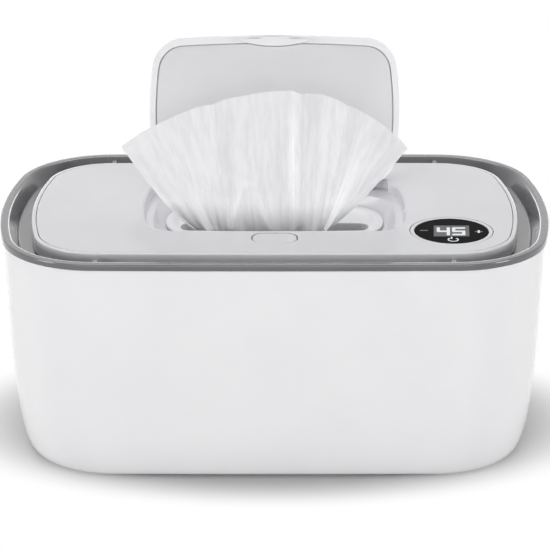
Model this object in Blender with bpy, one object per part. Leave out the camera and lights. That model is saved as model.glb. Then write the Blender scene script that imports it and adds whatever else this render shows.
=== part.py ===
"""Baby wipe warmer: an oval tub with a lift-off heated lid, a sprung flip lid and a wipe drawn through it.

Metres, +Z up, +X right along the long side, -Y to the front. The origin is on the floor under the middle.
"""

import math

import bmesh
import bpy
from mathutils import Matrix, Vector

# Tub, outside
bodyLength = 0.2400
bodyWidth = 0.1499
bodyHeight = 0.1020
sideBowRadius = 5.2000
endBowRadius = 0.2080
cornerRadius = 0.0412
fitGap = 0.0003
cutOverrun = 0.0040

# Rim band of the inner tub
rimWidth = 0.0036
rimBandHeight = 0.0029
rimFillet = 0.0008
rimOverhang = 0.0012

# Outer shell
shellWall = 0.0022
shellTaperShare = 0.033
lowerCurveReach = 0.0092
lowerCurveRise = 0.0618
cornerGainShare = 0.87

# Inner tub: sloped wall, ledge and chamber
linerWall = 0.0020
slopeReach = 0.0036
ledgeDepth = 0.0071
ledgeCove = 0.0009
ledgeWidth = 0.0100
ledgeEdge = 0.0007
chamberFloor = 0.0140
chamberDraft = 0.0020
chamberFillet = 0.0080
ribEndGap = 0.0452
ribWidth = 0.0023
ribTopDrop = 0.0014
ribLidGap = 0.0013
cableNotchWidth = 0.0160
cableNotchLift = 0.0002
cableNotchRadius = 0.0020

# Feet and the screws between shell and inner tub
footRadius = 0.0055
footLift = 0.0012
footRecess = 0.0010
footEndGap = 0.0380
footSideGap = 0.03295
tubScrewEndGap = 0.0600
tubScrewSideGap = 0.03895
tubBossRadius = 0.0042
screwShank = 0.0014
screwHead = 0.0027
screwHeadHeight = 0.0016
screwBite = 0.0060
screwClearance = 0.0002

# Lift-off lid
lidGap = 0.0099
lidEdgeWall = 0.0018
lidEdgeFillet = 0.0007
coverThickness = 0.0020
coverLip = 0.0004
shelfWidth = 0.0015
flangeThickness = 0.0010
trayGap = 0.0012
trayWall = 0.0019
trayDepth = 0.0182
trayFloorDepth = 0.0146
trayFloor = 0.0016
gasketGrooveDrop = 0.0018
gasketGrooveHeight = 0.0024
gasketGrooveDepth = 0.0008
throatWall = 0.0014

# Flip lid pocket in the cover
pocketEndGap = 0.0625
pocketFrontGap = 0.04125
pocketSideBow = 0.7000
pocketEndBow = 0.1500
pocketCorner = 0.0145
pocketFillet = 0.0012
pocketLedgeDepth = 0.0044
pocketWall = 0.0014
hingeRearGap = 0.03995
hingeDepth = 0.0020
recessEndGap = 0.0061
recessCorner = 0.0030
openAngle = math.radians(108.0)

# Dish, mouth and wipe guide
dishLedgeEnd = 0.0042
dishLedgeFront = 0.0046
dishLedgeRear = 0.0092
dishDepth = 0.0040
mouthEndShare = 0.8
mouthSideShare = 0.687285
mouthCornerShare = 0.85
mouthEndBowShare = 1.5
guideFlange = 0.0020
guideThickness = 0.0010
guideDip = 0.0030
guideNeck = 0.0034
slotEndGap = 0.0045
slotSideShare = 0.29
slotCornerShare = 0.62069
slotEndBowShare = 1.37931

# Flip lid
flipGap = 0.0008
flipRearReach = 0.0014
flipThickness = 0.0032
flipSkin = 0.0015
flipSideBorder = 0.0027
flipFrontBorder = 0.0036
flipRearBorder = 0.0036
flipPanelRecess = 0.0006
flipFillet = 0.0007
knuckleRadius = 0.0017
pinRadius = 0.0009
pinRunningGap = 0.00006
earWidth = 0.0030
earInnerShare = 0.389105
springBayShare = 0.108949
knuckleWidthShare = 0.136187
hingeSideGap = 0.0004
notchFront = 0.0026
torsionWire = 0.00022
torsionRadius = 0.00145
torsionCurls = 4
torsionLeg = 0.0042
catchHalfLength = 0.0158
catchThickness = 0.0007
catchDrop = 0.0032
catchBulge = 0.0024
catchLip = 0.0011
catchLipHeight = 0.0008
catchSetBack = 0.0020

# Latch button, slide and spring
buttonHalfLength = 0.0095
buttonWidth = 0.0120
buttonBack = 0.0021
buttonCorner = 0.0050
buttonGap = 0.0004
buttonThickness = 0.0020
buttonTravel = 0.0016
wedgeHalfWidth = 0.0030
wedgeReach = 0.0045
wedgeGap = 0.0004
latchTravelShare = 0.75
slideHalfWidth = 0.0098
slideTop = 0.0047
slideThickness = 0.0015
noseHalfWidth = 0.0060
noseThickness = 0.0006
slideLength = 0.0098
railWidth = 0.0016
railLip = 0.0014
railLipHeight = 0.0009
latchSpringRadius = 0.0014
latchSpringWire = 0.0002
latchSpringLength = 0.0038
latchSpringCurls = 4
springSeatThickness = 0.0012
springSeatHalfWidth = 0.0040

# Control panel and board
panelPlaceShare = 0.566327
panelFrontGap = 0.04205
windowShare = 0.401786
windowThickness = 0.0021
bezelWidth = 0.0017
bezelGroove = 0.0003
bezelLip = 0.0009
bezelFloor = 0.0008
displayLengthShare = 0.397959
displayWidthShare = 0.352041
displayHeight = 0.0044
boardShare = 0.428571
boardThickness = 0.0012
touchReachShare = 0.301020
powerReachShare = 0.265306
touchSpringRadius = 0.0014
touchSpringWire = 0.0002
touchSpringCurls = 3
boardPostRadius = 0.0026
boardScrewAcrossShare = 0.216837
boardScrewBackShare = 0.293367
boardScrewShank = 0.0009
boardScrewHead = 0.0019
boardScrewHeadHeight = 0.0012

# Heater, sensor, fuse and inlet
plateThickness = 0.0010
filmThickness = 0.0004
filmMargin = 0.0025
fuseRadius = 0.0018
fuseLength = 0.0110
fuseOffset = 0.0031
fuseBoardGap = 0.0221
sensorRadius = 0.0016
sensorLength = 0.0060
sensorOffset = 0.0069
sensorBoardGap = 0.0281
windowMargin = 0.0010
inletLength = 0.0090
inletDepth = 0.0074
inletHeight = 0.0032
inletTongue = 0.0007
inletShell = 0.0004
inletBlind = 0.0020
inletDrop = 0.00275
leadRadius = 0.0007
lidPostRadius = 0.0030
lidScrewPocketGap = 0.0095
lidScrewFrontGap = 0.03045
lidScrewRearGap = 0.02795
lidScrewEndGap = 0.0300
lidScrewEndSide = 0.0140

# Wipe
wipeThickness = 0.0007
wipeTailDrop = 0.0150
wipeMouthLeftShare = 0.867470
wipeMouthRightShare = 0.554217
wipeLeftShare = 1.2
wipeRightShare = 1.036522
wipeTop = 0.0450
wipeCornerHeight = 0.0175
wipeTopLean = 0.0210
wipeNeckFoldShare = 0.534483
wipeFold = 0.0040
wipeFoldCount = 5
wipeColumns = 40
wipeRows = 10

# Facets
cornerSteps = 6
endSteps = 2
sideSteps = 1
roundSteps = 20

rimTop = bodyHeight
shellTop = rimTop - rimBandHeight - fitGap
ledgeTop = rimTop - ledgeDepth
ledgeOuter = rimWidth + slopeReach + ledgeCove
chamberInset = ledgeOuter + ledgeWidth
lidInset = rimWidth + lidGap
coverInset = lidInset + lidEdgeWall + fitGap
trayInset = chamberInset + ledgeEdge + trayGap
trayInner = trayInset + trayWall
chamberDepth = rimTop - chamberFloor
ribPlace = bodyLength / 2 - ribEndGap
footPlaceX = bodyLength / 2 - footEndGap
footPlaceY = bodyWidth / 2 - footSideGap
tubScrewX = bodyLength / 2 - tubScrewEndGap
tubScrewY = bodyWidth / 2 - tubScrewSideGap
pocketHalfLength = bodyLength / 2 - pocketEndGap
pocketFront = bodyWidth / 2 - pocketFrontGap
hingeRear = bodyWidth / 2 - hingeRearGap
hingeZ = rimTop - hingeDepth
recessHalfLength = pocketHalfLength - recessEndGap
earInner = earInnerShare * recessHalfLength
springBay = springBayShare * recessHalfLength
knuckleWidth = knuckleWidthShare * recessHalfLength
mouthHalfLength = mouthEndShare * pocketHalfLength
mouthHalfWidth = mouthSideShare * (pocketFront - dishLedgeFront)
mouthCorner = mouthCornerShare * mouthHalfWidth
mouthEndBow = mouthEndBowShare * mouthHalfWidth
slotHalfLength = mouthHalfLength - slotEndGap
slotHalfWidth = slotSideShare * mouthHalfWidth
slotCorner = slotCornerShare * slotHalfWidth
slotEndBow = slotEndBowShare * slotHalfWidth
panelRoom = bodyLength / 2 - trayInner - pocketHalfLength - pocketWall
panelX = bodyLength / 2 - trayInner - panelPlaceShare * panelRoom
panelY = panelFrontGap - bodyWidth / 2
windowRadius = windowShare * panelRoom
displayLength = displayLengthShare * panelRoom
displayWidth = displayWidthShare * panelRoom
boardRadius = boardShare * panelRoom
touchReach = touchReachShare * panelRoom
powerReach = powerReachShare * panelRoom
boardScrewX = boardScrewAcrossShare * panelRoom
boardScrewY = boardScrewBackShare * panelRoom
fuseX = panelX + fuseOffset
fuseY = panelY + boardRadius + fuseBoardGap
sensorX = panelX - sensorOffset
sensorY = panelY + boardRadius + sensorBoardGap
lidScrewFrontX = pocketHalfLength - lidScrewPocketGap
lidScrewFrontY = lidScrewFrontGap - bodyWidth / 2
lidScrewRearY = bodyWidth / 2 - lidScrewRearGap
lidScrewEndX = bodyLength / 2 - lidScrewEndGap
lidScrewEndY = lidScrewEndSide
wipeMouthLeft = -wipeMouthLeftShare * slotHalfLength
wipeMouthRight = wipeMouthRightShare * slotHalfLength
wipeLeft = -wipeLeftShare * pocketHalfLength
wipeRight = wipeRightShare * pocketHalfLength
wipeNeckFold = wipeNeckFoldShare * slotHalfWidth
flipRear = hingeRear + flipRearReach
pocketRear = flipRear + flipGap / 2
leanShare = math.cos(math.pi - openAngle)
stopReach = hingeDepth * (leanShare * (1 + leanShare) / math.sin(openAngle) + math.sin(openAngle))
recessRear = hingeRear + stopReach + fitGap

TUB = dict(x=0, y=0, length=bodyLength, width=bodyWidth, side=sideBowRadius, end=endBowRadius, corner=cornerRadius)
POCKET = dict(
    x=0,
    y=(pocketRear - pocketFront) / 2,
    length=2 * pocketHalfLength,
    width=pocketRear + pocketFront,
    side=pocketSideBow,
    end=pocketEndBow,
    corner=pocketCorner,
)
flipFront = pocketFront - flipGap
FLIP = dict(
    POCKET, y=(flipRear - flipFront) / 2, length=2 * (pocketHalfLength - flipGap), width=flipRear + flipFront
)
dishFront = pocketFront - dishLedgeFront
dishRear = pocketRear - dishLedgeRear
DISH = dict(
    POCKET, y=(dishRear - dishFront) / 2, length=2 * (pocketHalfLength - dishLedgeEnd), width=dishRear + dishFront
)
FLIP_PANEL = dict(
    FLIP,
    y=FLIP["y"] + (flipFrontBorder - flipRearBorder) / 2,
    length=FLIP["length"] - 2 * flipSideBorder,
    width=FLIP["width"] - flipFrontBorder - flipRearBorder,
    corner=pocketCorner - flipSideBorder,
)
RECESS = dict(
    TUB,
    y=(recessRear + dishRear) / 2,
    length=2 * recessHalfLength,
    width=recessRear - dishRear,
    end=pocketEndBow,
    corner=recessCorner,
)
MOUTH = dict(
    x=0, y=0, length=2 * mouthHalfLength, width=2 * mouthHalfWidth, side=pocketSideBow, end=mouthEndBow, corner=mouthCorner
)
SLOT = dict(
    x=0, y=0, length=2 * slotHalfLength, width=2 * slotHalfWidth, side=pocketSideBow, end=slotEndBow, corner=slotCorner
)
BUTTON = dict(
    x=0,
    y=-(pocketFront + buttonBack + buttonWidth / 2),
    length=2 * buttonHalfLength,
    width=buttonWidth,
    side=pocketSideBow,
    end=pocketEndBow,
    corner=buttonCorner,
)


def clear_scene():
    for obj in list(bpy.data.objects):
        bpy.data.objects.remove(obj, do_unlink=True)


def material(name, colour, roughness, metallic=0.0):
    made = bpy.data.materials.new(name)
    made.use_nodes = True
    shader = made.node_tree.nodes["Principled BSDF"]
    shader.inputs["Base Color"].default_value = (*colour, 1.0)
    shader.inputs["Roughness"].default_value = roughness
    shader.inputs["Metallic"].default_value = metallic
    return made


def outline(spec, inset=0.0, gain=0.0):
    """Oval of bowed sides, bowed ends and round corners, moved in by inset; gain widens its corners."""
    half_x = spec["length"] / 2
    half_y = spec["width"] / 2
    side = spec["side"]
    end = spec["end"]
    corner = spec["corner"] + gain
    low = Vector((0, half_y - side))
    near = Vector((half_x - end, 0))
    span = near - low
    reach = span.length
    r_side = side - corner
    r_end = end - corner
    along = (r_side**2 - r_end**2 + reach**2) / (2 * reach)
    across = math.sqrt(max(r_side**2 - along**2, 0))
    unit = span / reach
    centre = low + unit * along + Vector((unit.y, -unit.x)) * across
    turn_end = math.atan2(centre.y - near.y, centre.x - near.x)
    turn_side = math.atan2(centre.y - low.y, centre.x - low.x)
    arcs = (
        (near, end - inset, 0, turn_end, endSteps),
        (centre, corner - inset, turn_end, turn_side, cornerSteps),
        (low, side - inset, turn_side, math.pi / 2, sideSteps),
    )
    quarter = [Vector((half_x - inset, 0))]
    for middle, radius, start, stop, steps in arcs:
        for k in range(1, steps + 1):
            turn = start + (stop - start) * k / steps
            quarter.append(middle + radius * Vector((math.cos(turn), math.sin(turn))))
    top = quarter + [Vector((-p.x, p.y)) for p in reversed(quarter[:-1])]
    loop = top + [Vector((p.x, -p.y)) for p in reversed(top[1:-1])]
    return [Vector((p.x + spec["x"], p.y + spec["y"])) for p in loop]


def circle(x, y, radius, steps=roundSteps):
    turns = [2 * math.pi * k / steps for k in range(steps)]
    return [Vector((x + radius * math.cos(t), y + radius * math.sin(t))) for t in turns]


def blend(first, second, share):
    return [a.lerp(b, share) for a, b in zip(first, second)]


def at(loop, z):
    return [Vector((p.x, p.y, z)) for p in loop]


def mesh_object(name, bm, look):
    bmesh.ops.recalc_face_normals(bm, faces=bm.faces)
    mesh = bpy.data.meshes.new(name)
    bm.to_mesh(mesh)
    bm.free()
    made = bpy.data.objects.new(name, mesh)
    bpy.context.collection.objects.link(made)
    if look is not None:
        mesh.materials.append(look)
    mesh.shade_smooth()
    mesh.set_sharp_from_angle(angle=math.radians(35))
    return made


def loft(name, rings, look=None, closed=True):
    """Skin over rings of equal count. A closed loft joins its last ring to its first, an open one has flat caps."""
    bm = bmesh.new()
    loops = [[bm.verts.new(p) for p in ring] for ring in rings]
    pairs = list(zip(loops, loops[1:])) + ([(loops[-1], loops[0])] if closed else [])
    for first, second in pairs:
        for k in range(len(first)):
            bm.faces.new((first[k - 1], first[k], second[k], second[k - 1]))
    if not closed:
        bm.faces.new(loops[0])
        bm.faces.new(loops[-1])
    return mesh_object(name, bm, look)


def prism(name, loop, low, high, look=None):
    return loft(name, [at(loop, low), at(loop, high)], look, closed=False)


def frame(name, outer, inner, low, high, look=None):
    return loft(name, [at(outer, low), at(outer, high), at(inner, high), at(inner, low)], look)


def box(name, low, high, look=None):
    bm = bmesh.new()
    bmesh.ops.create_cube(bm, size=1)
    low = Vector(low)
    size = Vector(high) - low
    for vert in bm.verts:
        vert.co = Vector(low[k] + (vert.co[k] + 0.5) * size[k] for k in range(3))
    return mesh_object(name, bm, look)


def rod(name, start, stop, radius, look=None, steps=roundSteps, tip=None):
    """Cylinder, or cone where tip is given, from one point to another."""
    start = Vector(start)
    way = Vector(stop) - start
    bm = bmesh.new()
    turn = way.to_track_quat("Z", "Y").to_matrix().to_4x4()
    bmesh.ops.create_cone(
        bm,
        cap_ends=True,
        segments=steps,
        radius1=radius,
        radius2=radius if tip is None else tip,
        depth=way.length,
        matrix=Matrix.Translation(start + way / 2) @ turn,
    )
    return mesh_object(name, bm, look)


def turned(name, x, y, profile, look=None, steps=roundSteps):
    """Ring turned about a vertical line from a closed profile of (radius, z)."""
    return loft(name, [at(circle(x, y, r, steps), z) for r, z in profile], look)


def boolean(target, tool, operation):
    """Cuts or joins tool and removes it, leaving the result in target's mesh."""
    change = target.modifiers.new(operation.title(), "BOOLEAN")
    change.operation = operation
    change.solver = "EXACT"
    change.object = tool
    bpy.context.view_layer.update()
    graph = bpy.context.evaluated_depsgraph_get()
    result = bpy.data.meshes.new_from_object(target.evaluated_get(graph))
    target.modifiers.clear()
    looks = [slot for slot in target.data.materials]
    old = target.data
    target.data = result
    result.name = target.name
    result.materials.clear()
    for look in looks:
        result.materials.append(look)
    bpy.data.meshes.remove(old)
    bpy.data.objects.remove(tool, do_unlink=True)
    result.set_sharp_from_angle(angle=math.radians(35))


def cut(target, *tools):
    for tool in tools:
        boolean(target, tool, "DIFFERENCE")


def join(target, *tools):
    for tool in tools:
        boolean(target, tool, "UNION")


def corners(place_x, place_y):
    return [(sx * place_x, sy * place_y) for sx in (-1, 1) for sy in (-1, 1)]


def empty(name, place):
    made = bpy.data.objects.new(name, None)
    made.location = place
    bpy.context.collection.objects.link(made)
    return made


def hang(parent, *pieces):
    """Parents pieces without moving them, with their origins on the parent."""
    bpy.context.view_layer.update()
    for piece in pieces:
        piece.data.transform(Matrix.Translation(-parent.matrix_world.translation))
        piece.parent = parent


def make_outer_shell(look):
    """White outer tub: tapered walls that curve in to a flat base, open at the top."""

    def wall(inset, base):
        drop = math.atan(shellTaperShare * (lowerCurveRise - base + footLift) / lowerCurveReach)
        rise = lowerCurveRise - base + footLift
        curve_top = base + rise * (1 - math.sin(drop))
        lean = (shellTop - curve_top) * shellTaperShare
        rings = [(inset, 0, shellTop), (inset + lean, 0, curve_top)]
        for k in range(1, 9):
            turn = drop + (math.pi / 2 - drop) * k / 8
            inward = lowerCurveReach * (math.cos(drop) - math.cos(turn))
            rings.append((inset + lean + inward, inward * cornerGainShare, base + rise * (1 - math.sin(turn))))
        return rings

    outside = wall(rimOverhang, footLift)
    inside = wall(rimOverhang + shellWall, footLift + shellWall)
    rings = [at(outline(TUB, inset, gain), z) for inset, gain, z in reversed(outside)]
    rings += [at(outline(TUB, inset, gain), z) for inset, gain, z in inside]
    shell = loft("outer_shell", rings, look, closed=False)
    notch_low = ledgeTop + cableNotchLift
    cut(shell, cable_notch(notch_low))
    for x, y in corners(footPlaceX, footPlaceY):
        cut(shell, rod("cutter", (x, y, -cutOverrun), (x, y, footLift + footRecess), footRadius + fitGap))
    for x, y in corners(tubScrewX, tubScrewY):
        cut(shell, rod("cutter", (x, y, -cutOverrun), (x, y, footLift + shellWall + cutOverrun), screwShank + screwClearance))
        cut(shell, rod("cutter", (x, y, -cutOverrun), (x, y, footLift + footRecess), screwHead + screwClearance))
    return shell


def cable_notch(low):
    """U-shaped cutter through the rear rim, with round lower corners."""
    half = cableNotchWidth / 2
    high = rimTop + cutOverrun
    turns = [math.pi / 2 * k / 4 for k in range(5)]
    left = [(-half + cableNotchRadius * (1 - math.cos(t)), low + cableNotchRadius * (1 - math.sin(t))) for t in turns]
    loop = [(-half, high)] + left + [(-x, z) for x, z in reversed(left)] + [(half, high)]
    near = bodyWidth / 2 - lidInset + fitGap
    far = bodyWidth / 2 + cutOverrun
    return loft("cutter", [[Vector((x, y, z)) for x, z in loop] for y in (near, far)], closed=False)


def make_inner_liner(look):
    """Grey inner tub: rim band, sloped wall, ledge for the lid and the chamber for the wipes."""
    fillet = rimFillet
    soft = 0.29 * fillet
    deep = rimTop - chamberDepth
    top_in = chamberInset + ledgeEdge
    inner_side = [
        (0, rimTop - fillet, 0),
        (soft, rimTop - soft, 0),
        (fillet, rimTop, 0),
        (rimWidth - fillet, rimTop, 0),
        (rimWidth - soft, rimTop - soft, 0),
        (rimWidth, rimTop - fillet, 0),
        (rimWidth + slopeReach, ledgeTop + ledgeCove, 0),
        (rimWidth + slopeReach + soft, ledgeTop + soft, 0),
        (ledgeOuter, ledgeTop, 0),
        (chamberInset, ledgeTop, 0),
        (top_in, ledgeTop - ledgeEdge, 0),
        (top_in + chamberDraft, deep + chamberFillet, 0),
    ]
    for k in range(1, 5):
        turn = math.pi / 2 * k / 4
        inward = chamberFillet * (1 - math.cos(turn))
        inner_side.append((top_in + chamberDraft + inward, deep + chamberFillet * (1 - math.sin(turn)), 0))
    base = deep - linerWall
    round_out = chamberFillet + linerWall
    outer_side = []
    for k in range(4, -1, -1):
        turn = math.pi / 2 * k / 4
        inward = round_out * (1 - math.cos(turn))
        outer_side.append((top_in + chamberDraft - linerWall + inward, base + round_out * (1 - math.sin(turn)), 0))
    outer_side += [
        (top_in - linerWall, ledgeTop - linerWall, 0),
        (rimWidth + slopeReach - linerWall / 2, ledgeTop - linerWall, 0),
        (rimOverhang + shellWall + fitGap, rimTop - rimBandHeight, 0),
        (rimFillet / 2, rimTop - rimBandHeight, 0),
        (0, rimTop - rimBandHeight + rimFillet / 2, 0),
    ]
    rings = [at(outline(TUB, inset), z) for inset, z, _ in reversed(inner_side)]
    rings += [at(outline(TUB, inset), z) for inset, z, _ in reversed(outer_side)]
    liner = loft("inner_liner", rings, look, closed=False)
    rib_high = rimTop - ribTopDrop
    rib_low = ledgeTop - linerWall / 2
    rib_near = bodyWidth / 2 - rimWidth - rimFillet
    rib_far = bodyWidth / 2 - lidInset + ribLidGap
    for sx in (-1, 1):
        for sy in (-1, 1):
            x = sx * ribPlace
            ys = sorted((sy * rib_near, sy * rib_far))
            join(liner, box("rib", (x - ribWidth / 2, ys[0], rib_low), (x + ribWidth / 2, ys[1], rib_high)))
    floor_low = footLift + shellWall + fitGap
    for x, y in corners(tubScrewX, tubScrewY):
        join(liner, rod("boss", (x, y, floor_low), (x, y, deep - linerWall / 2), tubBossRadius))
        top = footLift + footRecess + screwBite + screwClearance
        cut(liner, rod("cutter", (x, y, -cutOverrun), (x, y, top), screwShank + screwClearance))
    cut(liner, cable_notch(ledgeTop + cableNotchLift))
    return liner


def make_feet(look):
    feet = []
    for k, (x, y) in enumerate(corners(footPlaceX, footPlaceY), 1):
        top = footLift + footRecess - fitGap
        feet.append(rod(f"foot_{k}", (x, y, 0), (x, y, top), footRadius, look))
    return feet


def screw(name, x, y, seat, shank_top, shank, head, height, look):
    """Round-headed screw driven upwards, its head under seat."""
    low = seat - fitGap
    rings = [
        at(circle(x, y, 0.8 * head, 12), low - height),
        at(circle(x, y, head, 12), low - height / 2),
        at(circle(x, y, head, 12), low),
        at(circle(x, y, shank, 12), low),
        at(circle(x, y, shank, 12), shank_top),
    ]
    return loft(name, rings, look, closed=False)


def make_tub_screws(look):
    made = []
    seat = footLift + footRecess
    for k, (x, y) in enumerate(corners(tubScrewX, tubScrewY), 1):
        made.append(
            screw(f"tub_screw_{k}", x, y, seat, seat + screwBite, screwShank, screwHead, footRecess - fitGap, look)
        )
    return made


def lid_screw_places():
    front = [(sx * lidScrewFrontX, lidScrewFrontY) for sx in (-1, 1)]
    rear = [(sx * lidScrewFrontX, lidScrewRearY) for sx in (-1, 1)]
    ends = [(sx * lidScrewEndX, lidScrewEndY) for sx in (-1, 1)]
    return front + rear + ends


def dish_rings(sink, spread):
    """Rings of the dish from its ledge to the mouth, sunk and spread for the underside."""
    start = outline(DISH, -spread)
    stop = outline(MOUTH, -spread)
    top = rimTop - pocketLedgeDepth - sink
    rings = []
    for share in (0.0, 0.3, 0.65, 1.0):
        rings.append(at(blend(start, stop, share), top - dishDepth * (1 - (1 - share) ** 2)))
    return rings


def make_lid_cover(look):
    """Glossy top of the lid: a plate with the flip lid's pocket and the dish round the mouth."""
    top = rimTop
    under = top - coverThickness
    ledge = top - pocketLedgeDepth
    fillet = pocketFillet
    soft = 0.29 * fillet
    rings = [
        at(outline(TUB, coverInset), top - coverThickness - coverLip),
        at(outline(TUB, coverInset), top - coverLip),
        at(outline(TUB, coverInset + coverLip), top),
        at(outline(POCKET, -fillet), top),
        at(outline(POCKET, -soft), top - soft),
        at(outline(POCKET, 0), top - fillet),
        at(outline(POCKET, fillet / 2), ledge),
    ]
    rings += dish_rings(0, 0)
    rings += list(reversed(dish_rings(coverThickness, -fitGap)))
    rings += [
        at(outline(POCKET, -pocketWall), ledge - coverThickness),
        at(outline(POCKET, -pocketWall), under),
        at(outline(TUB, coverInset + shelfWidth), under),
        at(outline(TUB, coverInset + shelfWidth - coverLip), under - coverLip),
    ]
    cover = loft("lid_cover", rings, look)
    wall_low = ledge - coverThickness
    shift = (pocketWall + fitGap, dishLedgeRear / 2)
    filler = dict(
        RECESS,
        y=RECESS["y"] + (shift[0] + shift[1]) / 2,
        length=RECESS["length"] + 2 * shift[0],
        width=RECESS["width"] + shift[0] - shift[1],
    )
    join(cover, prism("filler", outline(filler), wall_low, under + coverThickness / 2))
    cut(cover, prism("cutter", outline(RECESS), ledge, top + cutOverrun))
    bezel_hole = windowRadius + fitGap + bezelWidth + bezelGroove
    cut(cover, rod("cutter", (panelX, panelY, under - cutOverrun), (panelX, panelY, top + cutOverrun), bezel_hole, steps=40))
    post_low = top - trayFloorDepth + fitGap
    for x, y in lid_screw_places():
        join(cover, rod("post", (x, y, post_low), (x, y, under + coverThickness / 2), lidPostRadius, steps=16))
    for x, y in lid_screw_places():
        cut(
            cover,
            rod("cutter", (x, y, post_low - cutOverrun), (x, y, post_low + screwBite), screwShank + screwClearance, steps=12),
        )
    add_hinge_ears(cover)
    add_latch_housing(cover)
    cut(cover, prism("cutter", outline(BUTTON, -buttonGap), under - fitGap, top + cutOverrun))
    return cover


def hinge_spans(side):
    """Stretches along X of one hinge: inner ear, spring, knuckle and outer ear, each as (start, stop)."""
    inner = (earInner, earInner + earWidth)
    bay = (inner[1], inner[1] + springBay)
    knuckle = (bay[1] + hingeSideGap, bay[1] + hingeSideGap + knuckleWidth)
    outer = (knuckle[1] + hingeSideGap, knuckle[1] + hingeSideGap + earWidth)
    return [tuple(sorted((side * a, side * b))) for a, b in (inner, bay, knuckle, outer)]


def add_hinge_ears(cover):
    """Four lugs on the pocket's ledge that hold the two pins."""
    ledge = rimTop - pocketLedgeDepth
    for side in (-1, 1):
        inner, _, _, outer = hinge_spans(side)
        for start, stop in (inner, outer):
            lug = rod("lug", (start, hingeRear, hingeZ), (stop, hingeRear, hingeZ), knuckleRadius)
            join(
                lug,
                box(
                    "web",
                    (start, hingeRear - knuckleRadius, ledge - coverThickness / 2),
                    (stop, pocketRear + pocketFillet, hingeZ),
                ),
            )
            join(cover, lug)
        low = min(inner[0], outer[0]) + earWidth / 4
        high = max(inner[1], outer[1]) - earWidth / 4
        cut(cover, rod("cutter", (low, hingeRear, hingeZ), (high, hingeRear, hingeZ), pinRadius + pinRunningGap))


def add_latch_housing(cover):
    """Well for the catch, window for the nose, rails for the slide and a seat for its spring."""
    top = rimTop
    under = top - coverThickness
    ledge = top - pocketLedgeDepth
    well_back = flipFront - catchSetBack - catchThickness - catchBulge - fitGap * 2
    well = box(
        "cutter",
        (-catchHalfLength - hingeSideGap, -pocketFront + pocketFillet, ledge - coverThickness - cutOverrun),
        (catchHalfLength + hingeSideGap, -well_back, ledge + fitGap),
    )
    cut(cover, well)
    slot = box(
        "cutter",
        (-noseHalfWidth - hingeSideGap, -pocketFront - pocketWall - cutOverrun, top - slideTop - slideThickness - cutOverrun),
        (noseHalfWidth + hingeSideGap, -pocketFront + pocketFillet + fitGap, ledge + fitGap),
    )
    cut(cover, slot)
    slide_low = top - slideTop - slideThickness
    front = -(pocketFront + pocketWall + slideLength)
    for side in (-1, 1):
        inner = slideHalfWidth + fitGap * 2
        a, b = sorted((side * inner, side * (inner + railWidth)))
        rail = box("rail", (a, front, slide_low - fitGap - railLipHeight), (b, -pocketFront - pocketWall / 2, under + coverThickness / 2))
        c, d = sorted((side * (slideHalfWidth - railLip + fitGap), side * (inner + railWidth / 2)))
        join(rail, box("lip", (c, front, slide_low - fitGap - railLipHeight), (d, -pocketFront - pocketWall / 2, slide_low - fitGap)))
        join(cover, rail)
    seat_y = latch_spring_front()
    join(
        cover,
        box(
            "seat",
            (-springSeatHalfWidth, seat_y - fitGap - springSeatThickness, slide_low - fitGap - railLipHeight),
            (springSeatHalfWidth, seat_y - fitGap, under + coverThickness / 2),
        ),
    )


def latch_slide_front():
    return -(pocketFront + pocketWall + fitGap + slideLength)


def latch_spring_front():
    return latch_slide_front() - fitGap - latchSpringLength


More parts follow.
